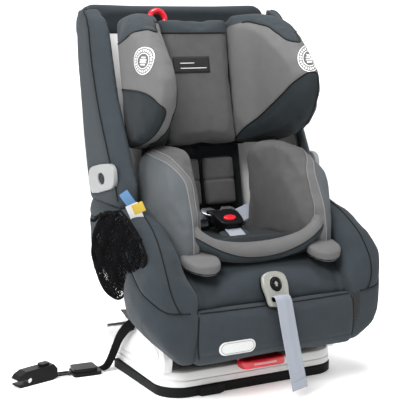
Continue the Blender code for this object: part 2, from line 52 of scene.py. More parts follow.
# ---------------------------------------------------------------- driving dimensions
ACROSS = Vector((1, 0, 0))
BACKWARDS = Vector((0, 1, 0))
UP = Vector((0, 0, 1))
BACK_LEAN = math.radians(10.8)
BACK_FOOT = Vector((0.0, 0.14, 0.35))
BACK_UP = Vector((0.0, math.sin(BACK_LEAN), math.cos(BACK_LEAN)))
BACK_OUT = Vector((0.0, math.cos(BACK_LEAN), -math.sin(BACK_LEAN)))
BACK_FRAME = Matrix.Translation(BACK_FOOT) @ Matrix((ACROSS, BACK_OUT, BACK_UP)).transposed().to_4x4()
BUCKLE_FRAME = Matrix.Translation((0.0, -0.024, 0.282)) @ turned(24, "X")
ADJUSTER_PLACE = Matrix.Translation((0.0, -0.1925, 0.1985))
ADJUSTER_FRAME = ADJUSTER_PLACE @ turned(62, "X") @ Matrix.Diagonal((0.9, 0.92, 1.0, 1.0))
VOXEL = 0.005
CLOTH_FRAMES = 14
CLOTH_STIFFNESS = 20
SHORTEST_RUN = 6
PIPING = 0.0016
PIPING_LIFT = 0.0003
PIPING_STEP = 0.004
LABEL_CELL = 0.004
SHARP_ANGLE = 38
SKIRT_SHARP_ANGLE = 32
PULL_WIDTH = 0.032
TETHER_WIDTH = 0.025
SIDES = (("left", -1), ("right", 1))
WHITE = (1.0, 1.0, 1.0, 1.0)

CAMERA_PLACE = Vector((-1.011, -1.815, 0.67))
CAMERA_TURN = math.radians(-28)
CAMERA_DROP = math.atan(0.1641)
CAMERA_LENS = 98.75


# ---------------------------------------------------------------- camera
def make_camera():
    data = bpy.data.cameras.new("camera")
    data.sensor_width = 36.0
    data.lens = CAMERA_LENS
    data.clip_start, data.clip_end = 0.1, 50.0
    camera = bpy.data.objects.new("camera", data)
    bpy.context.scene.collection.objects.link(camera)
    bpy.context.scene.camera = camera
    flat = math.cos(CAMERA_DROP)
    back = Vector((math.sin(CAMERA_TURN) * flat, -math.cos(CAMERA_TURN) * flat, math.sin(CAMERA_DROP)))
    camera.location = CAMERA_PLACE
    camera.rotation_mode = "QUATERNION"
    camera.rotation_quaternion = (-back).to_track_quat("-Z", "Y")


# ---------------------------------------------------------------- materials
class Shader:
    """A small helper that adds and links shader nodes."""

    def __init__(self, name, colour, roughness, metallic=0.0):
        self.material = bpy.data.materials.new(name)
        self.material.use_nodes = True
        self.tree = self.material.node_tree
        self.surface = self.tree.nodes["Principled BSDF"]
        self.set("Base Color", (*colour, 1.0))
        self.set("Roughness", roughness)
        self.set("Metallic", metallic)
        self.place = self.tree.nodes.new("ShaderNodeTexCoord").outputs["Object"]

    def set(self, name, value):
        self.surface.inputs[name].default_value = value

    def add(self, kind, **settings):
        made = self.tree.nodes.new(kind)
        for key, value in settings.items():
            setattr(made, key, value)
        return made

    def link(self, source, target):
        if isinstance(source, (int, float)):
            target.default_value = source
        else:
            self.tree.links.new(source, target)

    def math(self, operation, first, second=0.0):
        made = self.add("ShaderNodeMath", operation=operation)
        self.link(first, made.inputs[0])
        self.link(second, made.inputs[1])
        return made.outputs[0]

    def noise(self, scale, detail=3.0, stretch=(1, 1, 1)):
        mapped = self.add("ShaderNodeMapping")
        mapped.inputs["Scale"].default_value = stretch
        self.link(self.place, mapped.inputs["Vector"])
        made = self.add("ShaderNodeTexNoise")
        made.inputs["Scale"].default_value = scale
        made.inputs["Detail"].default_value = detail
        self.link(mapped.outputs[0], made.inputs["Vector"])
        return made.outputs["Fac"]

    def weave(self, cell):
        """Rows and columns of loops, cell metres apart, on every face."""
        split = self.add("ShaderNodeSeparateXYZ")
        self.link(self.place, split.inputs[0])
        turn = math.tau / cell
        x, y, z = (self.math("MULTIPLY", split.outputs[i], turn) for i in range(3))
        across = self.math("SINE", self.math("ADD", x, self.math("MULTIPLY", y, 0.8)))
        along = self.math("SINE", self.math("ADD", z, self.math("MULTIPLY", y, 0.45)))
        return self.math("ADD", self.math("MULTIPLY", across, along), 1.0)

    def tint(self, low, high, factor):
        ramp = self.add("ShaderNodeValToRGB")
        ramp.color_ramp.elements[0].color = (*low, 1.0)
        ramp.color_ramp.elements[1].color = (*high, 1.0)
        self.link(factor, ramp.inputs[0])
        self.link(ramp.outputs[0], self.surface.inputs["Base Color"])

    def bump(self, height, strength, distance):
        made = self.add("ShaderNodeBump")
        made.inputs["Strength"].default_value = strength
        made.inputs["Distance"].default_value = distance
        self.link(height, made.inputs["Height"])
        self.link(made.outputs[0], self.surface.inputs["Normal"])


def scaled(colour, amount):
    return tuple(c * amount for c in colour)


def fabric(name, colour, cell=0.0013, contrast=0.35, sheen=0.06, relief=0.35):
    """Knitted fabric: loops at the cell size, mottling, a soft sheen and faint creases."""
    made = Shader(name, colour, 0.86)
    made.set("Specular IOR Level", 0.2)
    loops = made.math("MULTIPLY", made.weave(cell), 0.5)
    mottle = made.noise(55.0, 4.0)
    mixed = made.math("ADD", made.math("MULTIPLY", loops, 0.6), made.math("MULTIPLY", mottle, 0.4))
    made.tint(scaled(colour, 1.0 - contrast), scaled(colour, 1.0 + contrast), mixed)
    creases = made.noise(16.0, 2.0)
    height = made.math("ADD", made.math("MULTIPLY", loops, 0.25), creases)
    made.bump(height, relief, 0.0018)
    made.set("Sheen Weight", sheen)
    made.set("Sheen Roughness", 0.45)
    return made.material


def webbing(name, colour, cell=0.0022, sheen=0.04, roughness=0.6, shine=0.3):
    """Woven strap: a herringbone of ribs."""
    made = Shader(name, colour, roughness)
    made.set("Specular IOR Level", shine)
    ribs = made.math("MULTIPLY", made.weave(cell), 0.5)
    made.tint(scaled(colour, 0.72), scaled(colour, 1.12), ribs)
    made.bump(ribs, 0.5, 0.0006)
    made.set("Sheen Weight", sheen)
    return made.material


def plastic(name, colour, roughness, grain=0.0, coat=0.0, shine=0.4):
    """Moulded plastic: fine grain, slight unevenness in gloss, faint handling marks."""
    made = Shader(name, colour, roughness)
    speckle = made.noise(900.0, 2.0)
    cloud = made.noise(14.0, 3.0)
    made.tint(scaled(colour, 0.93), scaled(colour, 1.04), cloud)
    rough = made.math("ADD", made.math("MULTIPLY", cloud, 0.12), roughness - 0.06)
    made.link(rough, made.surface.inputs["Roughness"])
    made.bump(made.math("ADD", made.math("MULTIPLY", speckle, grain), cloud), 0.12, 0.0012)
    made.set("Coat Weight", coat)
    made.set("Specular IOR Level", shine)
    return made.material


def metal(name, colour, roughness):
    made = Shader(name, colour, roughness, 1.0)
    brushed = made.noise(220.0, 2.0, (0.08, 1.0, 1.0))
    made.tint(scaled(colour, 0.85), scaled(colour, 1.08), brushed)
    made.bump(brushed, 0.2, 0.0003)
    return made.material


def make_materials():
    return {
        "charcoal": fabric("charcoal_knit", (0.026, 0.033, 0.0385)),
        "dark": fabric("dark_knit", (0.012, 0.0145, 0.0165)),
        "slate": fabric("slate_knit", (0.0135, 0.018, 0.0205)),
        "grey": fabric("grey_knit", (0.078, 0.076, 0.076), 0.0016, 0.45),
        "smooth": fabric("smooth_grey_knit", (0.074, 0.082, 0.088), 0.001, 0.2),
        "light": fabric("light_knit", (0.106, 0.105, 0.105), 0.0013, 0.25),
        "piping": fabric("piping_cloth", (0.004, 0.0045, 0.005), 0.0009, 0.2),
        "light_piping": fabric("light_piping_cloth", (0.17, 0.174, 0.178), 0.0009, 0.2),
        "thread": fabric("thread", (0.012, 0.014, 0.016), 0.0006, 0.2),
        "print": fabric("white_print", (0.72, 0.72, 0.72), 0.0012, 0.15, 0.1),
        "label_dark": webbing("dark_label", (0.01, 0.01, 0.011), 0.0009),
        "label_white": webbing("white_label", (0.66, 0.67, 0.66), 0.0012),
        "handle_mark": plastic("handle_mark", (0.7, 0.3, 0.32), 0.5, 0.1),
        "label_gold": webbing("gold_label", (0.6, 0.42, 0.05), 0.0012),
        "label_blue": webbing("blue_label", (0.1, 0.22, 0.4), 0.0012),
        "net": webbing("net_cord", (0.004, 0.004, 0.0045), 0.0015, 0.0, 0.8, 0.05),
        "webbing_black": webbing("black_webbing", (0.004, 0.004, 0.0045), 0.0022, 0.0, 0.8, 0.03),
        "webbing_silver": webbing("silver_webbing", (0.28, 0.305, 0.35), 0.002, 0.1, 0.45),
        "shell": plastic("shell_white", (0.8, 0.8, 0.795), 0.34, 0.1, 0.15),
        "base": plastic("base_white", (0.66, 0.66, 0.655), 0.3, 0.1, 0.2),
        "rubber": plastic("rim_rubber", (0.006, 0.0065, 0.007), 0.6, 0.6, shine=0.12),
        "black": plastic("black_plastic", (0.006, 0.006, 0.0065), 0.34, 0.5, shine=0.1),
        "red": plastic("red_plastic", (0.62, 0.01, 0.022), 0.26, 0.05, 0.4),
        "silver": plastic("silver_plastic", (0.24, 0.24, 0.22), 0.28, 0.15, 0.4),
        "guide": plastic("guide_plastic", (0.264, 0.271, 0.271), 0.4, 0.3),
        "steel": metal("plated_steel", (0.56, 0.56, 0.57), 0.28),
    }


# ---------------------------------------------------------------- mesh helpers
def link_object(name, mesh):
    made = bpy.data.objects.new(name, mesh)
    bpy.context.scene.collection.objects.link(made)
    return made


def dress(obj, *cloths):
    """Gives an object its materials by name, in the order of its slots."""
    for cloth in cloths:
        obj.data.materials.append(PAINT[cloth])
    return obj


def from_bmesh(name, maker, *cloths, smooth=True):
    bmesh.ops.recalc_face_normals(maker, faces=maker.faces)
    mesh = bpy.data.meshes.new(name)
    maker.to_mesh(mesh)
    maker.free()
    if smooth:
        mesh.shade_smooth()
    return dress(link_object(name, mesh), *cloths)


def add_ring_faces(maker, rings):
    """Joins rings of vertices, each to the next, with a belt of faces."""
    for lower, upper in zip(rings, rings[1:]):
        for i in range(len(lower)):
            j = (i + 1) % len(lower)
            maker.faces.new((lower[i], lower[j], upper[j], upper[i]))


def bake_modifiers(obj):
    """Replaces an object's mesh by what its modifiers make of it."""
    depsgraph = bpy.context.evaluated_depsgraph_get()
    mesh = bpy.data.meshes.new_from_object(obj.evaluated_get(depsgraph))
    obj.modifiers.clear()
    obj.data = mesh
    return obj


def remove(obj):
    bpy.data.objects.remove(obj, do_unlink=True)


def world_point(axis, u, v, w):
    return {"X": (w, u, v), "Y": (u, w, v), "Z": (u, v, w)}[axis]


def prism(name, outline, axis, low, high):
    maker = bmesh.new()
    ends = [[maker.verts.new(world_point(axis, u, v, w)) for u, v in outline] for w in (low, high)]
    for end in ends:
        maker.faces.new(end)
    add_ring_faces(maker, ends)
    return from_bmesh(name, maker, smooth=False)


def loft(name, rings):
    maker = bmesh.new()
    made = [[maker.verts.new(point) for point in ring] for ring in rings]
    maker.faces.new(made[0])
    maker.faces.new(made[-1])
    add_ring_faces(maker, made)
    return from_bmesh(name, maker, smooth=False)


def overlap_of(first, *others, operation="INTERSECT"):
    for other in others:
        cut = first.modifiers.new("cut", "BOOLEAN")
        cut.operation = operation
        cut.object = other
    bake_modifiers(first)
    for other in others:
        remove(other)
    return first


def carved(*silhouettes):
    """The block seen as each outline along its axis: (axis, outline, low, high) for each."""
    return overlap_of(*(prism("block", outline, axis, *ends) for axis, outline, *ends in silhouettes))


def mm(*points):
    """Points given in millimetres."""
    return [tuple(value / 1000 for value in point) for point in points]


def mirrored(points, sign):
    return [(sign * point[0], *point[1:]) for point in points]


def arc(centre, radius, start, end, steps):
    turns = [math.radians(start + (end - start) * i / steps) for i in range(steps + 1)]
    return [(centre[0] + radius * math.cos(t), centre[1] + radius * math.sin(t)) for t in turns]


def rounded_rectangle(low, high, radius, steps=8):
    (u0, v0), (u1, v1) = (u + radius for u in low), (u - radius for u in high)
    return (arc((u1, v0), radius, -90, 0, steps) + arc((u1, v1), radius, 0, 90, steps)
            + arc((u0, v1), radius, 90, 180, steps) + arc((u0, v0), radius, 180, 270, steps))


def oval(centre, radii, count):
    """Points evenly spaced in turn around an upright oval."""
    turns = [math.tau * k / count for k in range(count)]
    return [(centre[0] + radii[0] * math.cos(t), centre[1] + radii[1] * math.sin(t)) for t in turns]


def smooth_curve(points, steps):
    """Catmull-Rom curve through 3-D points."""
    points = [Vector(point) for point in points]
    ends = [points[0] * 2 - points[1]] + points + [points[-1] * 2 - points[-2]]
    out = []
    for i in range(1, len(ends) - 2):
        a, b, c, d = ends[i - 1:i + 3]
        for k in range(steps):
            t = k / steps
            out.append(0.5 * (2 * b + (c - a) * t + (2 * a - 5 * b + 4 * c - d) * t * t
                              + (3 * b - a - 3 * c + d) * t ** 3))
    out.append(points[-1])
    return out


def even_path(points, step):
    """The same path with its points a step apart."""
    points = np.array([tuple(point) for point in points])
    lengths = np.linalg.norm(np.diff(points, axis=0), axis=1)
    along = np.concatenate(([0.0], np.cumsum(lengths)))
    count = max(3, int(along[-1] / step))
    places = np.linspace(0.0, along[-1], count)
    return [Vector([np.interp(p, along, points[:, i]) for i in range(3)]) for p in places]


def sweep(name, path, section, cloth, closed=False):
    """A tube: section(i) gives the ring's (sideways, outwards) offsets at each path point."""
    count = len(path)
    normal = None
    rings = []
    for i, point in enumerate(path):
        before = path[(i - 1) % count] if closed else path[max(i - 1, 0)]
        after = path[(i + 1) % count] if closed else path[min(i + 1, count - 1)]
        along = (after - before).normalized()
        if normal is None:
            normal = along.orthogonal().normalized()
        normal = (normal - along * along.dot(normal)).normalized()
        side = along.cross(normal)
        rings.append([point + side * u + normal * v for u, v in section(i)])
    maker = bmesh.new()
    made = [[maker.verts.new(place) for place in ring] for ring in rings]
    if closed:
        made.append(made[0])
    else:
        maker.faces.new(made[0])
        maker.faces.new(made[-1])
    add_ring_faces(maker, made)
    return from_bmesh(name, maker, cloth)


def tube(name, path, radius, cloth, closed=False, sides=8):
    ring = oval((0, 0), (radius, radius), sides)
    return sweep(name, path, lambda i: ring, cloth, closed)


def ribbon(name, route, width, across, thickness, cloth, ridge=0.0):
    """A flat woven strap with rounded edges and, if asked, a raised middle."""
    half = width / 2
    shares = (-1.0, -0.96, -0.8, -0.3, -0.2, 0.0, 0.2, 0.3, 0.8, 0.96, 1.0)
    rings = []
    for i, point in enumerate(route):
        along = (route[min(i + 1, len(route) - 1)] - route[max(i - 1, 0)]).normalized()
        wide = (across - along * across.dot(along)).normalized()
        face = along.cross(wide).normalized()
        ring = []
        for sign in (-1, 1):
            for share in shares[::1 if sign < 0 else -1]:
                edge = 0.25 if abs(share) > 0.98 else 1.0
                lift = ridge if abs(share) < 0.25 else 0.0
                ring.append(point + wide * half * share + face * sign * (thickness / 2 * edge + lift))
        rings.append(ring)
    made = loft(name, rings)
    made.data.shade_smooth()
    return dress(made, cloth)


def join(name, parts):
    """One object from several, each face keeping its material."""
    maker = bmesh.new()
    materials = []
    for part in parts:
        start = len(maker.faces)
        mesh = part.data.copy()
        mesh.transform(part.matrix_world)
        shift = []
        for item in part.data.materials:
            if item not in materials:
                materials.append(item)
            shift.append(materials.index(item))
        maker.from_mesh(mesh)
        maker.faces.ensure_lookup_table()
        for face in maker.faces[start:]:
            face.material_index = shift[face.material_index] if shift else 0
    mesh = bpy.data.meshes.new(name)
    maker.to_mesh(mesh)
    maker.free()
    for part in parts:
        remove(part)
    made = link_object(name, mesh)
    for item in materials:
        made.data.materials.append(item)
    return made


# ---------------------------------------------------------------- soft bodies
def relax(mesh, steps, factor=0.5):
    """Evens a mesh out: each vertex moves towards the middle of its neighbours."""
    count = len(mesh.vertices)
    places = np.zeros(count * 3)
    mesh.vertices.foreach_get("co", places)
    places = places.reshape(-1, 3)
    edges = np.zeros(len(mesh.edges) * 2, int)
    mesh.edges.foreach_get("vertices", edges)
    edges = edges.reshape(-1, 2)
    degree = np.bincount(edges.ravel(), minlength=count)[:, None]
    for _ in range(steps):
        total = np.zeros_like(places)
        np.add.at(total, edges[:, 0], places[edges[:, 1]])
        np.add.at(total, edges[:, 1], places[edges[:, 0]])
        places += (total / np.maximum(degree, 1) - places) * factor
    mesh.vertices.foreach_set("co", places.ravel())
    mesh.update()


def inflate(obj, pressure, cap):
    """Cloth under air pressure, with the movement of every point capped."""
    scene = bpy.context.scene
    rest = np.zeros(len(obj.data.vertices) * 3)
    obj.data.vertices.foreach_get("co", rest)
    cloth = obj.modifiers.new("cloth", "CLOTH")
    cloth.settings.use_pressure = True
    cloth.settings.uniform_pressure_force = pressure
    cloth.settings.tension_stiffness = CLOTH_STIFFNESS
    cloth.settings.effector_weights.gravity = 0.0
    for number in range(1, CLOTH_FRAMES + 1):
        scene.frame_set(number)
    bake_modifiers(obj)
    scene.frame_set(1)
    moved = np.zeros_like(rest)
    obj.data.vertices.foreach_get("co", moved)
    step = (moved - rest).reshape(-1, 3)
    size = np.linalg.norm(step, axis=1)[:, None]
    step *= np.minimum(1.0, cap / np.maximum(size, 1e-9))
    obj.data.vertices.foreach_set("co", rest + step.ravel())
    obj.data.update()


def soft_body(name, block, *cloths, rounding, pressure, cap, voxel=VOXEL):
    """Turns a block into a padded form: even mesh, rounded edges, air pressure, one subdivision."""
    remesh = block.modifiers.new("remesh", "REMESH")
    remesh.mode = "VOXEL"
    remesh.voxel_size = voxel
    bake_modifiers(block)
    relax(block.data, rounding)
    if pressure:
        inflate(block, pressure, cap)
        relax(block.data, 2)
    finer = block.modifiers.new("finer", "SUBSURF")
    finer.levels = finer.render_levels = 1
    bake_modifiers(block)
    block.name = name
    block.data.shade_smooth()
    block.data.materials.clear()
    return dress(block, *cloths)


def level_cut(obj, field, below=None, above=None):
    """Cuts the mesh where field is zero and returns the cut's chains of points.

    field takes an array of places. Faces where it is negative get material index below, and the
    others get above. None leaves them as they are.
    """
    maker = bmesh.new()
    maker.from_mesh(obj.data)
    maker.verts.ensure_lookup_table()
    places = np.array([vertex.co[:] for vertex in maker.verts])
    values = field(places)
    values = np.where(np.abs(values) < 1e-5, 1e-5, values)
    value = dict(zip(maker.verts, values))
    crossing = [e for e in maker.edges if value[e.verts[0]] * value[e.verts[1]] < 0]
    fresh = {}
    for edge in crossing:
        first, second = edge.verts
        share = value[first] / (value[first] - value[second])
        made = bmesh.utils.edge_split(edge, first, min(max(share, 0.02), 0.98))[1]
        fresh[made] = value[made] = 0.0
    cut_edges = []
    for face in dict.fromkeys(f for vertex in fresh for f in vertex.link_faces):
        ends = [v for v in face.verts if v in fresh]
        if len(ends) != 2:
            continue
        bmesh.utils.face_split(face, ends[0], ends[1])
        edge = maker.edges.get(ends)
        if edge:
            cut_edges.append(edge)
    for face in maker.faces:
        total = sum(value[v] for v in face.verts)
        if total < 0 and below is not None:
            face.material_index = below
        if total >= 0 and above is not None:
            face.material_index = above
    neighbours = {}
    for edge in cut_edges:
        a, b = edge.verts
        neighbours.setdefault(a, []).append(b)
        neighbours.setdefault(b, []).append(a)
    chains = []
    seen = set()
    starts = [v for v in neighbours if len(neighbours[v]) == 1] + list(neighbours)
    for start in starts:
        if start in seen:
            continue
        chain = [start]
        seen.add(start)
        while True:
            ahead = [v for v in neighbours[chain[-1]] if v not in seen]
            if not ahead:
                break
            chain.append(ahead[0])
            seen.add(ahead[0])
        closed = len(chain) > 2 and chain[0] in neighbours[chain[-1]]
        chains.append(([v.co.copy() for v in chain], closed))
    maker.to_mesh(obj.data)
    maker.free()
    obj.data.shade_smooth()
    return [chain for chain in chains if len(chain[0]) > SHORTEST_RUN]


def kept_runs(chains, keep):
    """The runs of each chain where keep(point) holds, as (points, closed)."""
    out = []
    for points, closed in chains:
        flags = [keep(p) for p in points]
        if all(flags):
            out.append((points, closed))
            continue
        if closed:
            first = flags.index(False)
            points = points[first:] + points[:first]
            flags = flags[first:] + flags[:first]
        run = []
        for point, flag in zip(points + [None], flags + [False]):
            if flag:
                run.append(point)
                continue
            if len(run) > SHORTEST_RUN:
                out.append((run, False))
            run = []
    return out


def surface_of(obj):
    return BVHTree.FromPolygons([v.co[:] for v in obj.data.vertices],
        [p.vertices[:] for p in obj.data.polygons])


def onto(tree, points, lift):
    """The points moved onto a surface and then off it by the lift."""
    out = []
    for point in points:
        place, normal, _, _ = tree.find_nearest(point)
        out.append(place + normal * lift)
    return out


def smoothed_path(points, closed, rounds=4):
    array = np.array([tuple(p) for p in points])
    for _ in range(rounds):
        before, after = np.roll(array, 1, 0), np.roll(array, -1, 0)
        middle = (before + after) / 2
        if not closed:
            middle[0], middle[-1] = array[0], array[-1]
        array = (array + middle) / 2
    return [Vector(p) for p in array]


def add_piping(name, obj, runs, radius=PIPING, cloth="piping", body="seat", slot="fabric_charcoal"):
    """Sews corded piping along runs of points on a surface."""
    tree = surface_of(obj)
    parts = []
    for points, closed in runs:
        path = even_path(smoothed_path(points, closed) + (points[:1] if closed else []), PIPING_STEP)
        path = onto(tree, path[:-1] if closed else path, PIPING_LIFT)
        parts.append(tube(name, smoothed_path(path, closed, 2), radius, cloth, closed))
    if parts:
        mount(join(name, parts), body, slot)


def add_stitches(name, obj, runs, aside, pitch=0.0042, length=0.0027, body="seat", slot="fabric_charcoal"):
    """Sews a row of stitches that follows runs of points, aside metres to one side."""
    tree = surface_of(obj)
    maker = bmesh.new()
    for points, closed in runs:
        path = even_path(smoothed_path(points, closed), pitch)
        for i in range(1, len(path) - 1):
            along = (path[i + 1] - path[i - 1]).normalized()
            _, normal, _, _ = tree.find_nearest(path[i])
            side = normal.cross(along).normalized()
            place, normal, _, _ = tree.find_nearest(path[i] + side * aside)
            along = (along - normal * along.dot(normal)).normalized()
            side = normal.cross(along)
            bar = []
            for share, wide in ((-0.5, 0.00012), (-0.3, 0.00028), (0.3, 0.00028), (0.5, 0.00012)):
                middle = place + along * length * share + normal * 0.00015
                bar.append([maker.verts.new(middle + side * u + normal * v)
                    for u, v in ((-wide, 0), (0, wide), (wide, 0), (0, -wide))])
            add_ring_faces(maker, bar)
            maker.faces.new(bar[0])
            maker.faces.new(bar[-1])
    mount(from_bmesh(name, maker, "thread"), body, slot)


def pull_in(obj, field, depth, width, keep=None):
    """Sews a channel: the surface sinks towards the line where field is zero."""
    mesh = obj.data
    places = np.zeros(len(mesh.vertices) * 3)
    mesh.vertices.foreach_get("co", places)
    places = places.reshape(-1, 3)
    normals = np.zeros(len(mesh.vertices) * 3)
    mesh.vertex_normals.foreach_get("vector", normals)
    normals = normals.reshape(-1, 3)
    amount = depth * np.exp(-(field(places) / width) ** 2)
    if keep is not None:
        amount = amount * keep(places)
    mesh.vertices.foreach_set("co", (places - normals * amount[:, None]).ravel())
    mesh.update()


def step(values, low, high):
    t = np.clip((values - low) / (high - low), 0.0, 1.0)
    return t * t * (3 - 2 * t)


def back_places(places):
    """World places in the back's own axes: across, backwards, up the back."""
    local = places - np.array(BACK_FOOT)
    return (places[:, 0], local @ np.array(BACK_OUT), local @ np.array(BACK_UP))


def line_field(points):
    """Signed distance, seen from the side, from an open line of (y, z) points."""
    line = np.array(points)

    def field(places):
        flat = places[:, [1, 2]]
        best = np.full(len(flat), 1000000000.0)
        signed = np.zeros(len(flat))
        for start, end in zip(line, line[1:]):
            span = end - start
            share = np.clip((flat - start) @ span / (span @ span), 0, 1)
            away = flat - start - share[:, None] * span
            distance = np.linalg.norm(away, axis=1)
            side = np.sign(span[0] * away[:, 1] - span[1] * away[:, 0])
            closer = distance < best
            best = np.where(closer, distance, best)
            signed = np.where(closer, distance * np.where(side == 0, 1, side), signed)
        return signed
    return field


def mount_soft(obj, body, slot, *nodes, fill=0.7):
    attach(obj, body)
    if nodes:
        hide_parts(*nodes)


def mount(obj, body, slot, *nodes):
    """Fixes a piece to its body and hides the CAD nodes it stands for; slot is not used."""
    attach(obj, body)
    if nodes:
        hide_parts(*nodes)


# ---------------------------------------------------------------- straps and cords
def make_cords():
    pull_route = smooth_curve(mm((0, -198.5, 182.8), (0, -205, 186.2), (0, -211, 189.2), (0.5, -216.5, 190),
        (1, -221, 187), (2, -224.2, 180), (4, -226.5, 165), (8, -228.5, 140), (13, -230, 112),
        (19, -231, 83), (25, -231.5, 55), (30, -232, 32), (32.5, -232.2, 19)), 4)
    pull = ribbon("pull_strap_webbing", pull_route, PULL_WIDTH, ACROSS, 0.0016, "webbing_silver", 0.0005)
    hem = ribbon("pull_strap_hem", pull_route[-6:], PULL_WIDTH * 1.01, ACROSS, 0.0034, "webbing_silver")
    mount(pull, "seat", "webbing_silver", "pull_strap")
    mount(hem, "seat", "webbing_silver")

    tether_route = smooth_curve(mm((-187.2, -6, 112), (-189, 6, 108), (-192, 20, 99), (-194.5, 34.5, 86),
        (-196.5, 48, 71), (-198, 60, 53), (-200, 71, 35), (-203.5, 79, 19), (-208.5, 83.5, 8.5),
        (-215, 85, 4.5), (-220, 85, 4)), 4)
    tether = ribbon("tether_webbing", tether_route, TETHER_WIDTH, BACKWARDS, 0.0024, "webbing_black")
    mount(tether, "base", "webbing_black", "tether_strap")


# ---------------------------------------------------------------- backrest cover
# the wing's height, and there its rear edge, piping and inner front edge as places along Y
WING_STATIONS = mm((330, 133, -8, -30), (375, 147, 8, -30), (413, 157, 32, -6), (452, 166, 53, 14),
    (496, 173, 76, 37), (531, 179, 91, 55), (589, 189, 111, 73), (624, 192, 119, 83), (652, 192, 124, 92),
    (674, 191, 136, 110), (690, 189, 160, 144))


def make_back_cover():
    for side, sign in SIDES:
        rings = []
        for height, rear, pipe, inner in WING_STATIONS:
            ring = [(0.208, rear + 0.004), (0.218, rear - 0.008), (0.219, pipe + 0.012),
                (0.2165, pipe - 0.002), (0.191, inner - 0.003), (0.184, inner + 0.005),
                (0.185, inner + 0.014), (0.198, inner + 0.026)]
            rings.append([(sign * x, y, height) for x, y in ring])
        wing = soft_body("back_wing_cover_" + side, loft("wing", rings), "charcoal", rounding=5,
            pressure=2.0, cap=0.0012)
        pipe_line = [(pipe, height) for height, _, pipe, _ in WING_STATIONS]
        runs = kept_runs(level_cut(wing, line_field(pipe_line)), lambda p: abs(p.x) > 0.203 and p.z > 0.345)
        mount_soft(wing, "seat", "fabric_charcoal", "back_wing_" + side)
        add_piping("back_wing_piping_" + side, wing, runs, radius=0.0017)
        add_stitches("back_wing_stitching_" + side, wing, runs, aside=0.0045 * sign)

    front = rounded_rectangle((-0.214, 0.56), (0.214, 0.704), 0.044, 6)
    front = [(u, v) for u, v in front if v > 0.6] + [(-0.214, 0.64), (0.214, 0.64)]
    front.sort(key=lambda p: math.atan2(p[1] - 0.65, p[0]))
    cap_side = mm((192, 630), (190, 676), (187, 692), (190, 701), (199, 703.5), (209, 692), (209, 640))
    cap = carved(("Y", front, 0.05, 0.25), ("X", cap_side, -0.3, 0.3))
    cap = soft_body("back_top_cap", cap, "charcoal", rounding=6, pressure=2.0, cap=0.003)
    ridge = level_cut(cap, lambda p: p[:, 1] - 0.184)
    runs = kept_runs(ridge, lambda p: p.z > 0.668)
    mount_soft(cap, "seat", "fabric_charcoal", "back_top_cover")
    add_piping("back_top_piping", cap, runs)

    plan = rounded_rectangle((-0.108, -0.039), (0.108, -0.008), 0.011, 4)
    pad = prism("pad", plan, "Z", -0.098, 0.075)
    pad = soft_body("back_pad_cover", pad, "dark", rounding=4, pressure=2.0, cap=0.003)
    pull_in(pad, lambda p: p[:, 0], depth=0.004, width=0.005)
    pad.data.transform(BACK_FRAME)
    mount_soft(pad, "seat", "fabric_grey", "back_pad")


